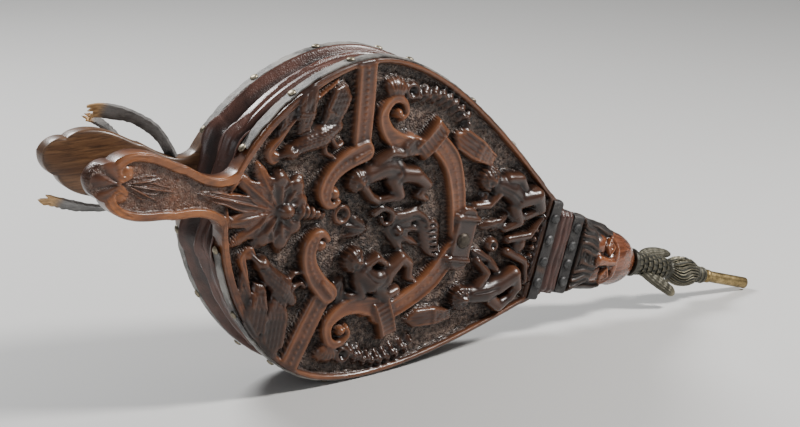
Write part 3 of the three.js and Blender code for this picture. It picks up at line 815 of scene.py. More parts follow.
def carve_lower_inner_putto(field):
    """A child across from it, with leaves at its shoulder."""
    carve_head(field, 205, -31, 10.5, 0.1, 15)
    field.limb([(195, -40), (182, -46), (170, -42)], [9, 10.5, 9], [14, 15.5, 14])
    field.limb([(196, -48), (188, -58), (200, -60)], [4.6, 4, 3.2], [12, 11, 9])
    field.tint = 0.2
    field.limb([(172, -40), (160, -24), (150, -27)], [7.8, 6, 4.5], [15, 14, 12])
    field.limb([(150, -27), (146, -38), (140, -40)], [4.5, 3.6, 2.8], [12, 10, 8])
    field.limb([(176, -50), (164, -56), (154, -50)], [6.5, 5, 4], [12, 12, 10])
    field.limb([(193, -34), (184, -26), (174, -30)], [4.5, 4, 3], [13, 13, 12])
    field.cut_line([(194, -38), (183, -44), (172, -42)], 1.5, 1.2)
    field.cut_line([(176, -34), (172, -42), (178, -50)], 1.4, 1.4)
    field.tint = 0.1
    for turn in (0.35, 0.75, 1.15):
        field.leaf(208, -46, 30, 9, -turn - 0.5, 7, lobes=3)


def carve_upper_outer_putto(field):
    """A winged child nearer the neck, one leg drawn up."""
    field.tint = 0.45
    field.wing(90, 66, 50, 19, 0.3, 9, 5, bend=0.03)
    carve_head(field, 89, 51, 10.5, 0.3, 14)
    field.limb([(78, 48), (64, 45), (52, 38)], [8.5, 9.5, 8.5], [13, 15, 14])
    field.limb([(70, 54), (58, 56), (48, 46)], [5, 4.5, 4], [13, 13, 12])
    field.tint = 0.24
    field.limb([(76, 40), (82, 30), (96, 27)], [4.4, 3.8, 3.2], [12, 11, 9])
    field.limb([(52, 38), (37, 44), (28, 34)], [8, 8, 6], [15, 17, 14])
    field.limb([(28, 34), (40, 26), (52, 22)], [6, 5, 3.6], [13, 11, 9])
    field.limb([(54, 32), (46, 20), (58, 12)], [6.5, 5, 3.6], [12, 12, 9])
    field.cut_line([(78, 46), (65, 43), (54, 38)], 1.5, 1.2)


def carve_lower_outer_putto(field):
    """Its fellow on the lower side."""
    field.tint = 0.35
    field.wing(92, -64, 46, 15, -0.2, 8.5, 5, bend=-0.03)
    carve_head(field, 86, -50, 10.5, -0.2, 14)
    field.limb([(76, -46), (62, -42), (50, -34)], [8.5, 9.5, 8.5], [13, 15, 14])
    field.limb([(72, -38), (66, -26), (78, -18)], [4.6, 4, 3.2], [12, 12, 10])
    field.tint = 0.24
    field.limb([(52, -36), (38, -24), (30, -34)], [8, 7.5, 5.5], [15, 16, 13])
    field.limb([(30, -34), (34, -44), (44, -50)], [5.5, 4.6, 3.6], [12, 11, 8])
    field.limb([(56, -46), (44, -52), (34, -44)], [6.5, 5.5, 4.5], [12, 12, 10])
    field.cut_line([(76, -44), (64, -40), (54, -36)], 1.5, 1.2)


def carve_swag(field, side):
    """Shell, hollow flower and a garland of fruit along the rim."""
    field.tint = 0.35
    for i in range(5):
        field.leaf(206, side * 100, 17, 8, side * (0.9 + 0.32 * i), 10, veins=1)
    field.tint = 0.15
    field.blob(190, side * 108, 8, 8, 10, power=0.3)
    field.dent(190, side * 108, 5, 7)
    path = spline(mirrored(side, [(182, 106), (160, 109), (142, 104), (124, 92)]), 15)
    for i, (s, v) in enumerate(path):
        radius = 4.2 - 0.1 * i
        field.blob(s, v + side * (1.6 if i % 2 else -1.2), radius, radius, 8.2)
        for sign in (-1, 1):
            field.leaf(s, v, 9, 5, sign * 1.1 + (math.pi if i % 2 else 0), 6, veins=1)


def carve_middle(field):
    """Small scrolls and leaves that fill the middle and the neck."""
    field.tint = 0.1
    field.ribbon([(196, 8), (188, 13), (179, 11), (178, 3), (185, 1), (188, 6)], [7, 6, 5, 4, 3, 3], 9)
    field.ribbon([(178, 8), (166, 10), (154, 14), (142, 10), (138, 2)], [6, 6, 5, 4, 3], 8)
    for turn in (2.5, 2.75, 3.05, 3.4, 3.8):
        field.leaf(180, -2, 40, 8, turn, 8, lobes=3)
    field.blob(168, -3, 6, 5, 11)
    for i in range(7):
        wave = [(150 - 2 * i, 8 - 3.5 * i), (141 - 2 * i, 6 - 4 * i),
                (133 - 2 * i, 9 - 4.5 * i), (126 - i, 5 - 4 * i)]
        field.limb(spline(wave, 7), [1.7] * 7, [6, 7, 7.5, 7.5, 7, 6, 5])
    for turn in (0.4, -0.4, 0.0):
        field.leaf(196, -6, 24, 7, turn, 6, lobes=2)
    field.tint = 0.2
    for s, v, turn in ((84, 10, 2.8), (84, -10, 3.4), (70, 8, 2.2), (66, -14, 3.8), (90, 22, 1.8)):
        field.leaf(s, v, 26, 8, turn, 8, lobes=2)
    field.blob(66, -3, 8, 7, 10)
    field.dent(66, -3, 3.5, 5)
    field.blob(38, 2, 8, 10, 11)
    field.limb([(52, 4), (30, 10), (20, 26)], [4, 3.5, 3], [10, 10, 8])
    field.limb([(50, -6), (28, -12), (20, -28)], [4, 3.5, 3], [10, 10, 8])
    for i in range(9):
        field.blob(22, -30 + i * 7.5, 3.6, 3.4, 8.5)


def carve_rim_scrolls(field, side):
    """Where the rim leaves the belly it curls in beside the handle."""
    field.tint = 0.6
    curl = [(262, 104), (290, 74), (303, 52), (308, 42), (304, 35), (299, 38)]
    field.ribbon(mirrored(side, curl), [2, 3, 5, 7, 6, 4], 7.2, lip=1.5)
    field.blob(303, side * 39.5, 4, 4, 8.2, power=0.3)


def carve_handle(field):
    """The shell at the handle's end, the rim's scrolls beside it and the leaves that run back."""
    field.tint = 0.5
    for turn, long, wide in ((2.86, 34, 9), (3.42, 34, 9), (math.pi, 46, 9.5)):
        field.leaf(426, 0, long, wide, turn, 7.2, lobes=3)
    field.tint = 0.9
    curl = [(415, 22.5), (425, 20.5), (433.5, 15), (436, 8.5), (430.5, 3.5), (424, 6.5)]
    for side in (1, -1):
        field.ribbon(mirrored(side, curl), [5, 6, 7, 7, 6, 4], 7.4, lip=1.4, dish=0.5)
        field.blob(427.5, side * 9, 6.5, 6, 7.2, power=0.3)
    field.tint = 0.55
    shell_s, reach = 431, 26
    mask = (field.s > shell_s + 3) & (field.s < LENGTH + 1)
    ds, dv = field.s[mask] - shell_s, field.v[mask]
    ray, out = np.arctan2(dv, ds), np.hypot(ds, dv)
    level = 4.6 + 2.4 * np.abs(np.cos(ray * 4.1)) ** 0.6 - 1.6 * smooth(out, 14, reach)
    share = (1 - smooth(np.abs(ray), 1.0, 1.15)) * smooth(out, 2, 4)
    field.height[mask] = field.height[mask] * (1 - share) + level * share
    field.tone[mask] = np.where(share > 0.5, field.tint, field.tone[mask])
    field.blob(432, 0, 3.6, 3.4, 8.2, power=0.4)


def board_edge(s, v):
    """Distance in from the board's edge."""
    slope = (half_width(s + 0.5) - half_width(s - 0.5))
    return (half_width(s) - np.abs(v)) / np.sqrt(1 + np.clip(slope, -3, 3) ** 2)


def rim_band(s):
    """Width of the moulded rim: a bead round the belly, a flat band along the handle."""
    return 3.0 + 2.6 * smooth(s, 225, 300)


def rim_height(s, v):
    """The ground and the moulded rim, above the field's ground."""
    edge, band = board_edge(s, v), rim_band(s)
    top = BOARD - GROUND
    ground = HANDLE_GROUND * smooth(s, 318, 345)
    rim = 1 - smooth(edge, band, band + WALL * 1.6)
    level = ground * (1 - rim) + top * rim
    level -= 0.6 * np.exp(-((edge - band * 0.62) / 0.6) ** 2) * (s < 300)
    level -= 1.5 * (1 - smooth(edge, 0, 1.6)) ** 2
    return level


def punched(s, v, pitch):
    """Smooth random heights, as a punch leaves, with marks about pitch apart."""
    table = rng.normal(0, 1, (420, 260))
    a, b = s / pitch, (v + BELLY[1]) / pitch
    i, j = np.floor(a).astype(int) % 419, np.floor(b).astype(int) % 259
    fa, fb = smooth(a % 1, 0, 1), smooth(b % 1, 0, 1)
    near = table[i, j] * (1 - fb) + table[i, j + 1] * fb
    far = table[i + 1, j] * (1 - fb) + table[i + 1, j + 1] * fb
    return near * (1 - fa) + far * fa


def blurred(field, radius):
    """Box blur over the grid, twice."""
    out = field
    for _ in range(2):
        for ax in (0, 1):
            pad = [(0, 0), (0, 0)]
            pad[ax] = (radius + 1, radius)
            total = np.cumsum(np.pad(out, pad, mode="edge"), axis=ax)
            size = 2 * radius + 1
            if ax == 0:
                out = (total[size:] - total[:-size]) / size
            else:
                out = (total[:, size:] - total[:, :-size]) / size
    return out


def board_rows():
    """Where the rows of a board's grid lie, closer together at the handle's round tip."""
    tip = 440 + (LENGTH - 440) * np.sin(np.linspace(0, math.pi / 2, TIP_ROWS + 1))[1:]
    return np.concatenate([np.linspace(0, ROOT[0], BELLY_ROWS),
                           np.linspace(ROOT[0], 440, HANDLE_ROWS)[1:], tip])


def carved_field(s, v):
    """Every carved form of the front board, the nearer ones last."""
    field = Carving(s, v, rim_height(s, v))
    edge = board_edge(s, v)
    inside = smooth(edge, rim_band(s) + 1, rim_band(s) + 2.5)
    field.height += inside * 0.42 * punched(s, v, 2.3) * (1 - 0.35 * smooth(s, 325, 340))
    on_rim = edge < rim_band(s) + 1
    field.tone = np.where(on_rim, 0.48 + 0.42 * smooth(s, 300, 350), 0.27 + 0.27 * smooth(s, 320, 350))
    carve_swag(field, 1)
    carve_swag(field, -1)
    carve_middle(field)
    for side in (1, -1):
        carve_bird(field, side)
        carve_scroll(field, side)
        carve_rim_scrolls(field, side)
    carve_rosette(field)
    carve_upper_inner_putto(field)
    carve_lower_inner_putto(field)
    carve_upper_outer_putto(field)
    carve_lower_outer_putto(field)
    carve_arc(field)
    for side in (1, -1):
        carve_collar(field, side)
        carve_volute_bar(field, side)
    carve_handle(field)
    allowed = BOARD - GROUND + 16 * smooth(edge, 1.5, 8) * (s < HANDLE_FROM)
    field.height = np.minimum(field.height, allowed + 0.6 * (s > HANDLE_FROM))
    return field


def front_board():
    """The carved board: its relief as a grid, its sides and back as plain strips."""
    rows = board_rows()
    half = np.maximum(half_width(rows), 0.8)
    across = np.linspace(-1, 1, COLUMNS)
    s = np.repeat(rows[:, None], COLUMNS, 1)
    v = half[:, None] * across[None, :]
    field = carved_field(s, v)
    neck_land = smooth(s, 16, 19)
    height = field.height * neck_land + (BOARD - GROUND) * (1 - neck_land)
    height = height * 0.4 + blurred(height, 1) * 0.6
    depth = GROUND + height
    count = len(rows)
    top = np.stack([-s, -depth, v], -1).reshape(-1, 3)
    under = []
    for inset, level in ((0.0, 1.0), (0.8, 0.0)):
        for sign in (-1, 1):
            under.append(np.stack([-rows, np.full(count, -level), sign * (half - inset).clip(0.2)], -1))
    verts = np.vstack([top] + under)
    faces = grid_faces(count, COLUMNS)
    index = lambda i, j: i * COLUMNS + j
    ring = lambda k, i: count * COLUMNS + k * count + i
    for i in range(count - 1):
        left = [index(i, 0), ring(0, i), ring(2, i)]
        left_next = [index(i + 1, 0), ring(0, i + 1), ring(2, i + 1)]
        right = [index(i, COLUMNS - 1), ring(1, i), ring(3, i)]
        right_next = [index(i + 1, COLUMNS - 1), ring(1, i + 1), ring(3, i + 1)]
        for k in range(2):
            faces.append((left[k], left[k + 1], left_next[k + 1], left_next[k]))
            faces.append((right[k], right_next[k], right_next[k + 1], right[k + 1]))
        faces.append((ring(2, i), ring(3, i), ring(3, i + 1), ring(2, i + 1)))
    for i in (0, count - 1):
        loop = [index(i, j) for j in range(COLUMNS)] + [ring(1, i), ring(3, i), ring(2, i), ring(0, i)]
        faces.append(tuple(loop if i == 0 else loop[::-1]))
    piece = make_piece("front_board_carved", (verts, faces), walnut("carved_walnut", True), "front",
                       FRONT, crease=95)
    # Painted shade: hollow darkens where the relief lies below its blurred surroundings, most close up to
    # taller forms, and less on the ground.
    broad = blurred(height, 6)
    fine = blurred(height, 2)
    hollow = np.clip((broad - height - 0.4) / 3.0, 0, 1) * 0.9
    wall_shade = np.clip((fine - height) / 0.9, 0, 1) * 0.4
    hollow = np.clip(hollow + wall_shade, 0, 0.95) * smooth(s, 12, 24)
    wear = np.clip((height - fine) / 0.8, 0, 1) * 0.8 + np.clip((height - broad) / 7, 0, 1) * 0.3
    ground = (height < 1.8) | ((s > 335) & (height < HANDLE_GROUND + 1.2))
    wear = np.clip(wear, 0, 1) * (0.3 + 0.7 * smooth(field.tone, 0.1, 0.6))
    hollow = hollow * (1 - 0.45 * ground)
    ground = ground * (1 - 0.6 * smooth(s, 325, 345))
    for name, values, sides in (("hollow", hollow, 0), ("wear", wear, 0), ("field", ground, 0),
                                ("tone", blurred(field.tone, 1), 0.5)):
        set_values(piece, **{name: np.concatenate([values.ravel(), np.full(4 * count, sides)])})
    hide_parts("front_board")


# ---- Closed shells and round pieces ----
def grid_faces(rows, columns, start=0, flip=False):
    """Quads over a grid of vertices."""
    faces = []
    for i in range(rows - 1):
        for j in range(columns - 1):
            a = start + i * columns + j
            face = (a, a + 1, a + columns + 1, a + columns)
            faces.append(face[::-1] if flip else face)
    return faces


def grid_normals(points):
    """Unit normals of a grid of points."""
    along = np.gradient(points, axis=0)
    across = np.gradient(points, axis=1)
    normals = np.cross(along, across)
    return normals / np.maximum(np.linalg.norm(normals, axis=2, keepdims=True), 1e-9)


def shell(points, thickness):
    """A sheet of even thickness about a grid of points: vertices and faces of a closed mesh."""
    rows, columns = points.shape[:2]
    half = np.asarray(thickness)[..., None] / 2 * grid_normals(points)
    verts = np.concatenate([(points + half).reshape(-1, 3), (points - half).reshape(-1, 3)])
    count = rows * columns
    faces = grid_faces(rows, columns, 0, True) + grid_faces(rows, columns, count)
    border = list(range(columns))
    border += [i * columns + columns - 1 for i in range(1, rows)]
    border += [(rows - 1) * columns + j for j in range(columns - 2, -1, -1)]
    border += [i * columns for i in range(rows - 2, 0, -1)]
    for a, b in zip(border, border[1:] + border[:1]):
        faces.append((a, b, b + count, a + count))
    return verts, faces


def tube_mesh(loops, bored=False):
    """A closed mesh through loops of points, with flat ends; bored joins its last loop to its first."""
    rows, count = loops.shape[:2]
    faces = []
    for i in range(rows if bored else rows - 1):
        here, ahead = i * count, (i + 1) % rows * count
        for j in range(count):
            k = (j + 1) % count
            faces.append((here + j, here + k, ahead + k, ahead + j))
    if not bored:
        faces.append(tuple(range(count))[::-1])
        faces.append(tuple((rows - 1) * count + j for j in range(count)))
    return loops.reshape(-1, 3), faces


def domed_head(name, place, out, profile, material, body, matrix, sides=28, wobble=0.0):
    """A turned head standing at place, its axis along out. profile is a list of (radius, height)."""
    out = Vector(out).normalized()
    side = out.orthogonal().normalized()
    other = out.cross(side)
    loops = []
    phase = rng.uniform(0, 6.28)
    for radius, height in profile:
        loop = []
        for j in range(sides):
            angle = 2 * math.pi * j / sides
            r = radius * (1 + wobble * math.sin(2 * angle + phase))
            round_axis = side * r * math.cos(angle) + other * r * math.sin(angle)
            loop.append(Vector(place) + out * height + round_axis)
        loops.append(loop)
    return make_piece(name, tube_mesh(np.array(loops)), material, body, matrix, crease=35)


def dome_profile(radius, rise, base=0.6, steps=7, flat=0.0):
    """From the seat up over the dome; flat is the share of the radius that stays level on top."""
    points = [(radius * 0.96, 0), (radius, base * 0.5), (radius * 0.97, base)]
    for i in range(1, steps):
        angle = i / steps * math.pi / 2
        points.append((radius * (flat + (0.95 - flat) * math.cos(angle)), base + rise * math.sin(angle)))
    points.append((radius * max(flat * 0.6, 0.04), base + rise))
    return points


# ---- Path round the air chamber ----
def chamber_path(inset_end):
    """(s, v) and outward normals round the belly, from the upper neck to the lower neck."""
    belly = OUTLINE[(OUTLINE[:, 0] > 5) & (OUTLINE[:, 0] < 322)]
    belly = belly[np.concatenate([[True], np.diff(belly[:, 0]) > 0])]
    turn_s, turn_v = ROOT[0] - inset_end, half_width(322) - 9
    bend = [belly[-1], (turn_s + 1, turn_v + 4), (turn_s, turn_v - 4), (turn_s, turn_v - 14)]
    corner = bezier(bend, 16)[1:]
    upper = np.vstack([belly, corner])
    across = np.linspace(corner[-1][1], -corner[-1][1], 16)[1:-1]
    end = np.stack([np.full(len(across), corner[-1][0]), across], 1)
    lower = upper[::-1] * (1, -1)
    return evened(np.vstack([upper, end, lower]), GUSSET_ROWS)


def gusset():
    """The leather sides of the chamber: held out by the hoop, drawn in between it and the boards."""
    path, normals, run = chamber_path(3)
    total = run[-1]
    w = np.linspace(0, 1, GUSSET_COLUMNS)
    middle = abs(run - total / 2)
    s, v = path[:, 0:1], path[:, 1:2]
    # The two edges follow the boards, tucked under the trims; at the handle they sit between them.
    at_end = 1 - smooth(middle, 16, 34)[:, None]
    edge_out = 0.7 - 1.6 * at_end
    rear_y = 10.3 - 2.2 * at_end
    front_y = -1.9 + 2.1 * at_end
    out_s, out_v = normals[:, 0:1], normals[:, 1:2]
    cos, sin = math.cos(OPEN), math.sin(OPEN)
    edge_s, edge_v = s + out_s * edge_out, v + out_v * edge_out
    rear = (edge_s, rear_y, edge_v)
    front = (edge_s * cos + front_y * sin, -edge_s * sin + front_y * cos, edge_v)
    slack = smooth(path[:, 0], 60, 300)
    deep = (2.2 + 12.5 * slack ** 1.5)[:, None]
    ridge_at = 0.5 + 0.05 * np.sin(run / 47)[:, None]
    warped = np.where(w < ridge_at, 0.5 * w / ridge_at, 0.5 + 0.5 * (w - ridge_at) / (1 - ridge_at))
    lobes = np.abs(np.sin(2 * math.pi * warped)) ** (2.2 - 0.75 * slack[:, None])
    hold = np.minimum(np.minimum(w / 0.06, (1 - w) / 0.06), 1)[None, :]
    hollow = -deep * lobes - (0.6 + 4.2 * slack[:, None]) * np.sin(math.pi * w) ** 0.6
    folds = np.zeros_like(hollow)
    for k in range(9):
        length = 26 + 9 * k
        slant = rng.uniform(-1.1, 1.1)
        phase, drift = rng.uniform(0, 6.28, 2)
        wave = np.sin(2 * math.pi * (run[:, None] / length + slant * w * 1.4) + phase)
        swell = 0.5 + 0.5 * np.sin(run[:, None] / 61 + drift)
        folds += wave * swell * (0.24 + 0.1 * k)
    folds *= (0.12 + 0.85 * slack[:, None]) * np.sin(math.pi * w) * 0.85
    tubes = 3.8 * np.abs(np.sin(math.pi * (2.5 * w + 0.12 * np.sin(run[:, None] / 9)))) ** 0.8 - 2.4
    near_end = 1 - smooth(middle, 55, 125)[:, None]
    tubes = tubes * near_end * np.sin(math.pi * w) ** 0.7
    pinch = -5 * np.exp(-((middle[:, None] - 78) / 14) ** 2) * np.exp(-((w - 0.62) / 0.12) ** 2)
    offset = (hollow * (1 - 0.45 * near_end) + folds + tubes + pinch) * hold
    offset = offset * (1 - 0.25 * at_end)
    # The leather stays outside the hoop even when the boards are closed as far as they go.
    closed_gap = GAP + path[:, 0:1] * math.sin(OPEN / 2)
    hoop_share = HOOP_HALF / closed_gap
    share = w[None, :]
    deepest = -HOOP_FACE - 30 * smooth(np.abs(share - 0.5), hoop_share, hoop_share + 0.1)
    crest = 2.2 * slack[:, None] * np.exp(-((share - ridge_at) / 0.035) ** 2)
    offset = np.maximum(offset, deepest) + crest
    x, y, z = (a * (1 - share) + b * share for a, b in zip(rear, front))
    points = grid_of(-(x + out_s * offset), y, z + out_v * offset)
    material = leather("dark_leather", (0.055, 0.02, 0.013), 0.45)
    piece = make_piece("gusset_leather", shell(points, 1.2), material, None, STANCE, 60)
    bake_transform(piece)
    height = offset - blurred(offset, 12)
    set_values(piece, wear=np.tile(np.clip(height.ravel() / 2.0 + 0.25, 0, 1), 2))
    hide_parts("gusset")


# ---- Strips of leather ----
def edge_run(from_s, to_s, steps):
    """Points, outward normals and run along the upper edge of a board."""
    return evened(OUTLINE[(OUTLINE[:, 0] >= from_s) & (OUTLINE[:, 0] <= to_s)], steps)


def trim(name, side, low, high, body, matrix, slot_node):
    """A worn strip nailed round a board's edge, frayed along its sides."""
    steps, columns = 420, 13
    path, normals, run = edge_run(TRIM_FROM, TRIM_TO, steps)
    across = np.linspace(0, 1, columns)
    knots = np.arange(0, run[-1] + 5, 4.0)
    frays = [np.interp(run, knots, rng.normal(0, 0.35, len(knots))) for _ in range(2)]
    near = low + frays[0][:, None].clip(-0.6, 0.5)
    far = high + frays[1][:, None].clip(-0.6, 0.5)
    ripple = blurred(rng.normal(0, 1, (steps, columns)), 2)
    lift = 0.9 + 0.12 * np.sin(run / 23)[:, None] + 0.48 * ripple
    points = grid_of(-(path[:, 0:1] + normals[:, 0:1] * lift), near * (1 - across) + far * across,
                     side * (path[:, 1:2] + normals[:, 1:2] * lift))
    piece = make_piece(name, shell(points, 1.2), worn_leather("worn_trim"), body, matrix, 60)
    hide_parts(slot_node)


def trim_nails(prefix, side, y, body, matrix):
    """The domed nails along one trim."""
    path, normals, _ = edge_run(0, ROOT[0], 1200)
    seats = []
    for share in NAIL_PLACES:
        k = int(round(share * (len(path) - 1)))
        (s, v), (ns, nv) = path[k], normals[k]
        seats.append(((-(s + ns * 1.9), y, side * (v + nv * 1.9)), (-ns, 0, side * nv)))
    domed_row(prefix, seats, dome_profile(NAIL_RADIUS * 1.05, NAIL_RADIUS * 0.42, 0.5),
              metal("nail_iron", (0.3, 0.26, 0.19), 0.34, 0.9), body, matrix, 0.03)


def domed_row(prefix, seats, profile, material, body, matrix, wobble):
    """Numbered heads of one kind, each at its place and facing its own way out."""
    for i, (place, out) in enumerate(seats):
        head = domed_head(f"{prefix}_{i + 1}_head", place, out, profile, material, body, matrix,
                          wobble=wobble)
        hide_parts(f"{prefix}_{i + 1}")


def neck_band(name, x_from, half, body, matrix, node):
    """A flat strip nailed across the neck; its ends turn down over the edges."""
    columns, steps = 9, 64
    reach = half + 7
    run = np.linspace(-reach, reach, steps)
    z = np.clip(run, -half, half)
    turn_down = np.abs(run) - half
    y = BAND_Y + np.where(turn_down > 0, turn_down * 0.95, 0) + 0.2 * np.sin(run / 9)
    z = z + np.sign(run) * np.where(turn_down > 0, np.minimum(turn_down * 0.3, 1.2), 0)
    across = np.linspace(0, 1, columns)
    points = grid_of(x_from + 10 * across[None, :] + 0.25 * np.sin(run / 5.3)[:, None],
                     y[:, None] - 0.35 * np.sin(math.pi * across) ** 0.5, z[:, None])
    piece = make_piece(name, shell(points, 1.7), worn_leather("band_leather", True), body, matrix, 60)
    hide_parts(node)


def band_studs(prefix, x, half, body, matrix):
    """The row of large domed studs in a neck band."""
    step = 2 * half / STUDS
    seats = [((x, STUD_Y, half - (i + 0.5) * step), (0, -1, 0)) for i in range(STUDS)]
    domed_row(prefix, seats, dome_profile(4.3, 1.7, 0.6, flat=0.35),
              metal("stud_iron", (0.1, 0.1, 0.1), 0.42, 0.85), body, matrix, 0.02)


def hinge_leather():
    """The creased leather that bridges the joint at the neck."""
    steps, columns = 90, 31
    z = np.linspace(-35.5, 35.5, steps)[:, None]
    share = np.linspace(0, 1, columns)[None, :]
    ridge = np.sin(math.pi * share) ** 0.55
    crease = 0.5 * np.sin(share * 19 + 0.5 * np.sin(z / 7)) * ridge
    droop = smooth(np.abs(z), 31, 35.5) * 3.4
    y = -15.5 - 2.4 * ridge - crease + 0.25 * np.sin(z / 4.1 + 5 * share) + droop
    points = grid_of(13.4 - 15.6 * share, y, z)
    material = leather("hinge_brown", (0.05, 0.019, 0.014), 0.05)
    piece = make_piece("hinge_leather_fold", shell(points, 1.5), material, None, STANCE, 60)
    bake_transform(piece)
    set_values(piece, wear=np.tile(np.clip(ridge + crease, 0, 1).ravel(), 2) * 0.7)
    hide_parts("hinge_leather")


def strap(name, points, width, torn, node, twist):
    """A strap along a curve. torn is its ragged end; twist is how far it rolls at its two ends."""
    steps, columns = 110, 15
    fine = spline(points, 400)
    run = run_along(fine)
    share = np.linspace(0, 1, steps)[:, None]
    teeth = rng.uniform(0, 9, columns // 2 + 1)
    ragged = np.interp(np.arange(columns), np.arange(0, columns + 1, 2), teeth)
    if torn == "start":
        reach = ragged[::-1] + (run[-1] - ragged[::-1]) * share
        worn_end = 1 - smooth(reach / run[-1], 0.12, 0.24)
    else:
        reach = (run[-1] - ragged) * share
        worn_end = smooth(reach / run[-1], 0.78, 0.88)
    centre, ahead, behind = (np.stack([np.interp(reach + step, run, fine[:, k]) for k in range(3)], -1)
                             for step in (0, 0.5, -0.5))
    along = ahead - behind
    along /= np.maximum(np.linalg.norm(along, axis=2, keepdims=True), 1e-9)
    across = np.linspace(-0.5, 0.5, columns)[None, :]
    narrowing = 1 - 0.12 * np.sin(reach / run[-1] * 9) ** 2
    up = np.stack([-along[..., 2], 0 * along[..., 0], along[..., 0]], -1)
    cup = 0.9 * (4 * across ** 2 - 0.3)
    grain = 0.5 * blurred(rng.normal(0, 1, (steps, columns)), 1)
    roll = np.radians(twist[0] + (twist[1] - twist[0]) * reach / run[-1])
    off = across * width * narrowing
    rise = cup + grain
    points_out = centre + up * (rise * np.cos(roll) + off * np.sin(roll))[..., None]
    points_out[..., 1] += off * np.cos(roll) - rise * np.sin(roll) + 0.5 * np.sin(reach / 6)
    piece = make_piece(name, shell(points_out, 2.1 - 0.9 * worn_end), torn_leather("strap_leather"), "rear",
                       STANCE, 50)
    set_values(piece, torn=np.tile(np.clip(worn_end.ravel(), 0, 1), 2))
    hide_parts(node)


def straps():
    """What is left of the carrying strap: a loop and two torn ends, as (x, z) curves at a depth y."""
    middle, behind = 16, 32
    loop = [(-349, 16), (-356, 23), (-365, 30), (-377, 36), (-392, 39.5), (-408, 40), (-421, 38.5),
            (-429, 33)]
    tail = [(-424, 31), (-411, 29), (-398, 24), (-386, 17), (-374, 12)]
    tongue = [(-352, -12), (-364, -26), (-382, -35), (-408, -38), (-441, -37)]
    for word, y, curve, width, torn, twist in (("loop", middle, loop, 14, "end", (12, 74)),
                                               ("tail", behind, tail, 8.5, "start", (58, 10)),
                                               ("tongue", behind, tongue, 11.5, "end", (10, 60))):
        points = [(x, y, z) for x, z in curve]
        strap(f"strap_{word}_leather", points, width, torn, f"strap_{word}", twist)


# ---- Plain rear board ----
def rear_board():
    """The plain board: rounded edges, the intake hole and the tongue that carries the head."""
    rows = board_rows()
    half = np.maximum(half_width(rows), 0.8)
    inner, outer = GAP, GAP + BOARD
    steps = [(0.0, 3.2), (0.35, 1.7), (1.0, 0.8), (2.1, 0.25), (3.6, 0.0)]
    count = len(rows)
    loops = [(inset, outer - drop) for inset, drop in steps[::-1]]
    loops += [(inset, inner + drop * 0.8) for inset, drop in steps]
    section = []
    for sign, order in ((1, loops), (-1, loops[::-1])):
        for inset, y in order:
            section.append(np.stack([-rows, np.full(count, y), sign * (half - inset).clip(0.15)], -1))
    piece = make_piece("rear_board_plain", tube_mesh(np.stack(section, 1)), walnut("plain_walnut", False),
                       "rear", STANCE, 50)
    cut(piece, bored_disc((-INTAKE_S, (inner + outer) / 2, 0), INTAKE_RADIUS, 40), "DIFFERENCE")
    cut(piece, rounded_block(*TONGUE, 1.2), "UNION")
    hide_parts("rear_board")


def loose(verts, faces):
    """A tool that is used once to cut or join, and then removed."""
    mesh = bpy.data.meshes.new("cutter")
    mesh.from_pydata([tuple(p) for p in verts], [], faces)
    mesh.transform(STANCE @ TO_METRES)
    tool = bpy.data.objects.new("cutter", mesh)
    bpy.context.scene.collection.objects.link(tool)
    return face_out(tool)


def bored_disc(place, radius, long, sides=72):
    """A cylinder along y, for a bore."""
    loops = [[(place[0] + radius * math.cos(a), place[1] + y, place[2] + radius * math.sin(a))
              for a in np.linspace(0, 2 * math.pi, sides, endpoint=False)] for y in (-long / 2, long / 2)]
    return loose(*tube_mesh(np.array(loops)))


def rounded_block(x, y, z, radius):
    """A block between two limits on each axis, its edges eased."""
    steps = ((0, radius), (radius * 0.3, radius * 0.3), (radius, 0))
    loops = [(x[0] + depth, inset) for depth, inset in steps]
    loops += [(x[1] - depth, inset) for depth, inset in steps[::-1]]
    out = []
    for at, inset in loops:
        low_y, high_y, low_z, high_z = y[0] + inset, y[1] - inset, z[0] + inset, z[1] - inset
        r = radius * 0.8
        corners = [(low_y + r, low_z), (high_y - r, low_z), (high_y, low_z + r), (high_y, high_z - r),
                   (high_y - r, high_z), (low_y + r, high_z), (low_y, high_z - r), (low_y, low_z + r)]
        out.append([(at, a, b) for a, b in corners])
    return loose(*tube_mesh(np.array(out)))


def cut(piece, tool, kind):
    """Cuts or joins a piece with a tool."""
    modifier = piece.modifiers.new("cut", "BOOLEAN")
    modifier.operation = kind
    modifier.object = tool
    modifier.solver = "EXACT"
    with bpy.context.temp_override(object=piece):
        bpy.ops.object.modifier_apply(modifier="cut")
    bpy.data.objects.remove(tool)
    piece.data.shade_smooth()
    piece.data.set_sharp_from_angle(angle=math.radians(45))


# ---- Head and nozzle ----
def round_points(x, radius_y, radius_z, sides, power):
    """A ring about the nozzle's axis; power 1 is an ellipse, below it squarer."""
    angle = np.linspace(0, 2 * math.pi, sides, endpoint=False)
    c, n = np.cos(angle), np.sin(angle)
    y = AXIS_Y - radius_y * np.sign(c) * np.abs(c) ** power
    z = radius_z * np.sign(n) * np.abs(n) ** power
    return np.stack([np.full(sides, float(x)), y, z], -1)


def from_axis(loops):
    """Directions straight out from the nozzle's axis."""
    out = loops - np.array([0, AXIS_Y, 0])
    out[..., 0] = 0
    return out / np.linalg.norm(out, axis=2, keepdims=True)


def strand(field, start, end, radius, top, waves, swing, phase):
    """A wavy lock of hair."""
    a, b = np.array(start, float), np.array(end, float)
    along = (b - a) / max(np.linalg.norm(b - a), 1e-6)
    side = np.array([-along[1], along[0]])
    points = []
    for t in np.linspace(0, 1, 12):
        points.append(tuple(a + (b - a) * t + side * swing * math.sin(phase + waves * 6.28 * t)))
    radii = [radius * (1 - 0.25 * t) for t in np.linspace(0, 1, 12)]
    tops = [top * (0.75 + 0.25 * math.sin(math.pi * (0.15 + 0.7 * t))) for t in np.linspace(0, 1, 12)]
    field.limb(points, radii, tops)


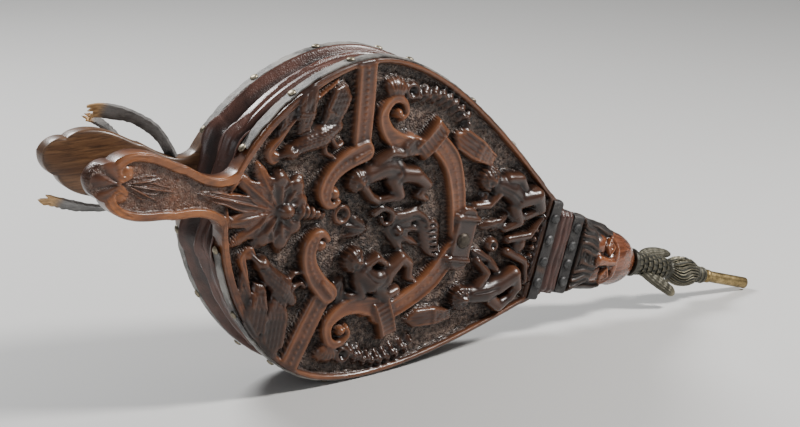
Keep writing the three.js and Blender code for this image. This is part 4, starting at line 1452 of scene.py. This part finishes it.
def carve_face(field):
    """A bearded mask of plain classical proportions; its brow is towards the nozzle."""
    eye_x, eye_z = 61, 11.5
    field.blob(79, 0, 22, 23, 4.4, power=0.6)
    for side in (1, -1):
        brow = mirrored(side, [(69, 3), (68.5, 11), (64, 19)])
        field.limb(brow, [3, 3.2, 2.4], [5.0, 5.2, 3.4])
        field.blob(51, side * 13, 9, 8, 3.6, power=0.8)
    field.limb([(68, 0), (57, 0), (49, 0)], [3.0, 3.3, 4.4], [5.0, 6.6, 8.0])
    for side in (1, -1):
        field.blob(48, side * 4.2, 3.2, 2.8, 5.6)
        field.dent(eye_x, side * eye_z, 7.6, 3.4)
        field.blob(eye_x, side * eye_z, 4.4, 5.2, 4.4, power=0.6)
        for middle, radii, tops in ((3.4, [1.1, 1.4, 1.0], [4.0, 5.2, 3.6]),
                                    (-3.2, [0.9, 1.1, 0.9], [3.6, 4.2, 3.2])):
            lid = [(eye_x, eye_z - 5.6), (eye_x + middle, eye_z), (eye_x, eye_z + 5.8)]
            field.limb(mirrored(side, lid), radii, tops)
        field.dent(eye_x, side * eye_z, 1.5, 1.2)
    field.limb([(38.5, -7), (39.5, 0), (38.5, 7)], [1.8, 2.3, 1.8], [4.6, 5.4, 4.6])


def carve_hair(field):
    """Long wavy locks that sweep back from the mouth and the temples to the band."""
    for side in (1, -1):
        for i in range(9):
            start = (47 - 0.07 * i * i, side * (1.6 + 2.5 * i))
            end = (25.5, side * (1.8 + 3.5 * i))
            strand(field, start, end, 1.9, 5.6 if i % 2 else 4.4, 0.9, 1.0, 0.6 * i)
        for i in range(4):
            z = side * (22.5 + i * 2.1)
            strand(field, (64 - i * 2.5, z), (30, side * (28 + i * 1.6)), 2.0, 4.0, 1.4, 1.0, i)


def head_mask():
    """The carved mask, with its rebate for the rear board's tongue."""
    # Each stop is x, half depth, half width, and how round the section is.
    stops = np.array([(8, 19.25, 33, 0.3), (27, 19.25, 33, 0.3), (31, 19.6, 31.5, 0.5),
                      (40, 19.6, 28.6, 0.85), (62, 18.8, 26.6, 1), (78, 16.4, 22.8, 1),
                      (88, 13, 18, 1), (94.5, 9.6, 13.2, 1), (98.8, 6.6, 9.6, 1)])
    xs = np.concatenate([np.linspace(8, 26, 30), np.linspace(26, 98.8, HEAD_ROWS - 30)])
    xs = np.unique(xs)
    deep, wide, power = (np.interp(xs, stops[:, 0], stops[:, k]) for k in (1, 2, 3))
    loops = np.stack([round_points(x, a, b, HEAD_SIDES, p)
                      for x, a, b, p in zip(xs, averaged(deep, 5), averaged(wide, 5), power)])
    field = Carving(loops[..., 0].copy(), loops[..., 2].copy(), np.zeros(loops.shape[:2]))
    carve_face(field)
    skin = field.height.copy()
    carve_hair(field)
    hair = field.height > skin + 0.05
    facing = (AXIS_Y + 3 - loops[..., 1]) / 6
    facing = smooth(facing, 0, 1)
    clear_of_band = smooth(loops[..., 0], 25.2, 27)
    lift = field.height * facing * clear_of_band
    lift = lift * 0.7 + blurred(lift, 1) * 0.3
    grooves = 0.5 * np.abs(np.sin(np.arctan2(loops[..., 2], loops[..., 1] - AXIS_Y) * 21
                                  + np.sin(loops[..., 0] / 4) * 1.2))
    back_hair = (1 - facing) * smooth(loops[..., 0], 30, 34) * (1 - smooth(loops[..., 0], 66, 74))
    lift = lift + grooves * back_hair * 1.6
    ahead = facing[..., None] * 0.55
    out = from_axis(loops) * (1 - ahead) + np.array([0, -1, 0]) * ahead
    out /= np.linalg.norm(out, axis=2, keepdims=True)
    loops = loops + out * lift[..., None]
    loops[..., 1] = np.minimum(loops[..., 1], 23.5)
    piece = make_piece("head_mask", tube_mesh(loops), painted_head("head_walnut"), "rear", STANCE, 60)
    fine = blurred(lift, 2)
    broad = blurred(lift, 6)
    on_hair = np.clip(blurred(hair.astype(float), 1) * facing + back_hair + (loops[..., 0] < 33), 0, 1)
    on_hair = np.maximum(on_hair, (loops[..., 0] < 42) * facing)
    around = np.hypot((loops[..., 0] - 66) / 27, loops[..., 2] / 24.5)
    ragged = 0.05 * np.sin(loops[..., 2] * 1.1 + 2 * np.sin(loops[..., 0] * 0.5))
    skin_share = (1 - smooth(around + ragged, 0.92, 1.02)) * smooth(facing, 0.3, 0.8)
    skin_share = np.maximum(skin_share, smooth(loops[..., 0] + 3 * ragged, 73, 79))
    on_hair = np.maximum(on_hair * (loops[..., 0] < 72), 1 - skin_share)
    # Painted shade: hollow is darker where the surface lies below its surroundings.
    set_values(piece, field=on_hair, hollow=np.clip((broad - lift - 0.35) / 1.6, 0, 0.9),
               wear=np.clip((lift - fine) / 0.5, 0, 1) * (1 - 0.75 * on_hair))
    cut(piece, rounded_block(*REBATE, 0.2), "DIFFERENCE")
    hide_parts("head_block")


def lathe_loops(profile, sides):
    """Rings about the nozzle's axis, one for each (x, radius)."""
    return np.array([round_points(x, radius, radius, sides, 1) for x, radius in profile])


def nozzle_casting():
    """A scaled neck, a feathered bulge and a collar round the tube."""
    sides = 180
    xs = np.linspace(99.4, 184, 360)
    stops = [(99.4, 12.6), (103, 13), (105, 10.2), (112, 9.6), (124, 10.2), (134, 10), (140, 8.6),
             (144, 8.4), (150, 11), (158, 12.4), (166, 11.4), (173, 8.2), (176, 7), (178, 7.6),
             (184, 7.4)]
    radius = averaged(np.interp(xs, *np.array(stops).T), 6)
    loops = lathe_loops(zip(xs, radius), sides)
    angle = np.linspace(0, 2 * math.pi, sides, endpoint=False)[None, :]
    x = xs[:, None]
    along = (x - 104) / 5.2
    row = np.floor(along)
    scale = 1.25 * np.sqrt(np.abs(np.sin(angle * 6 + row * math.pi / 2))) * (1 - (along - row)) ** 0.6
    on_neck = smooth(x, 104, 106) * (1 - smooth(x, 138, 142))
    sweep = angle * 13 + 2.6 * np.sin((x - 140) * 0.16) + 0.8 * np.sin(angle * 3 + x * 0.3)
    plumes = 1.4 * np.abs(np.sin(sweep)) ** 0.7 + 0.35 * np.sin(sweep * 3.1)
    on_bulge = smooth(x, 142, 147) * (1 - smooth(x, 171, 176))
    collar = 0.5 * (np.abs(np.sin((x - 176) * math.pi / 4)) > 0.9) * (x > 176.5)
    lift = scale * on_neck + plumes * on_bulge + collar
    loops = loops + from_axis(loops) * (lift - 0.6)[..., None]
    inner = lathe_loops([(184, 5.2), (166, 5.2), (166, 4), (99.4, 4)], sides)
    piece = make_piece("nozzle_casting_bronze", tube_mesh(np.concatenate([loops, inner]), True),
                       bronze("cast_bronze"), "rear", STANCE, 50)
    fine = blurred(lift, 4)
    rest = np.zeros(4 * sides)
    set_values(piece, hollow=np.concatenate([np.clip((fine - lift) / 0.6, 0, 0.9).ravel(), rest]),
               wear=np.concatenate([np.clip((lift - fine) / 0.8, 0, 0.6).ravel(), rest]))
    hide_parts("nozzle_casting")
    wing("nozzle_wing_upper", 1, [(115, 5), (121, 10.5), (133, 14), (150, 15.2)],
         [12, 11, 10, 7], [6, 4.4, 3.2, 2.6], 0.0)
    wing("nozzle_wing_lower", -1, [(117, 4), (126, 11), (137, 18), (147, 23.5)],
         [17, 15, 12, 9.5], [8, 6.6, 6, 5], 0.8)


def wing(name, sign, spine, widths, thicks, gilt):
    """A stubby wing of the creature, its quills running out to a rounded tip; gilt is its rubbed share."""
    steps, sides = 90, 72
    path = spline(spine, steps)
    run = np.linspace(0, 1, steps)
    width, thick = spread(widths, steps) / 2, spread(thicks, steps) / 2
    close = np.sqrt(np.clip(1 - ((run - 0.84) / 0.16).clip(0) ** 2, 0.0004, 1))
    along = np.gradient(path, axis=0)
    along /= np.linalg.norm(along, axis=1, keepdims=True)
    lean = math.radians(53)
    radial = sign * np.array([0, math.cos(lean), math.sin(lean)])
    face = np.array([0, -math.sin(lean), math.cos(lean)])
    loops = np.empty((steps, sides, 3))
    angle = np.linspace(0, 2 * math.pi, sides, endpoint=False)
    quills = 1 + 0.16 * np.abs(np.sin(angle * 7))
    worn = np.empty((steps, sides))
    for i in range(steps):
        edge = np.array([-along[i, 1], 0, 0]) + radial * along[i, 0]
        centre = np.array([path[i, 0], AXIS_Y, 0]) + radial * path[i, 1]
        ripple = 1 + 0.05 * math.sin(run[i] * 40)
        a = np.cos(angle) * width[i] * close[i]
        b = np.sin(angle) * thick[i] * close[i] * quills * ripple
        loops[i] = centre + a[:, None] * edge + b[:, None] * face
        worn[i] = smooth(run[i], 0.78, 0.97) * gilt + (quills - 1) * 1.5
    piece = make_piece(name, tube_mesh(loops), bronze("wing_bronze"), "rear", STANCE, 50)
    set_values(piece, wear=np.clip(worn, 0, 1),
               hollow=np.clip((1.09 - np.tile(quills, (steps, 1))) * 4, 0, 0.7))


def nozzle_tube():
    """The brass tube, with the bead that seats it in the casting."""
    profile = [(164.5, 4), (164.5, 5), (186.6, 5), (187.1, 5.5), (188, 5.8), (190, 5.8), (190.9, 5.5),
               (191.4, 5), (216, 4.97), (233.2, 5), (233.8, 4.8), (234, 4.5), (234, 4.1), (233.5, 4)]
    material = metal("dull_brass", (0.3, 0.22, 0.1), 0.32, 1)
    piece = make_piece("nozzle_tube_brass", tube_mesh(lathe_loops(profile, 72), True), material, "rear",
                       STANCE, 35)
    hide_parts("nozzle_tube")


def boss_stud():
    """The domed stud at the middle of the curved strap."""
    place = (-102, -18.5, -2)
    stud = domed_head("boss_stud_head", place, (0, -1, 0), dome_profile(6.5, 2.6, 0.5, flat=0.1),
                      metal("boss_iron", (0.09, 0.075, 0.06), 0.35, 0.8), "front", FRONT, 40)
    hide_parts("boss_stud")


add_camera()
add_floor()
add_studio()
front_board()
boss_stud()
rear_board()
gusset()
hinge_leather()
rear_y, front_y = GAP + 6.5, -6.5
for side, word in ((1, "upper"), (-1, "lower")):
    trim(f"rear_trim_{word}_strip", side, GAP + TRIM_LOW, GAP + TRIM_HIGH, "rear", STANCE,
         f"rear_trim_{word}")
    trim(f"front_trim_{word}_strip", side, -TRIM_HIGH, -TRIM_LOW, "front", FRONT, f"front_trim_{word}")
    trim_nails(f"rear_nail_{word}", side, rear_y, "rear", STANCE)
    trim_nails(f"front_nail_{word}", side, front_y, "front", FRONT)
neck_band("front_band_strip", -14, FRONT_BAND_HALF, "front", FRONT, "front_band")
neck_band("head_band_strip", 14, HEAD_BAND_HALF, "rear", STANCE, "head_band")
band_studs("front_band_stud", -9, NECK_HALF, "front", FRONT)
band_studs("head_band_stud", 19, 31, "rear", STANCE)
straps()
head_mask()
nozzle_casting()
nozzle_tube()
dress_frame()
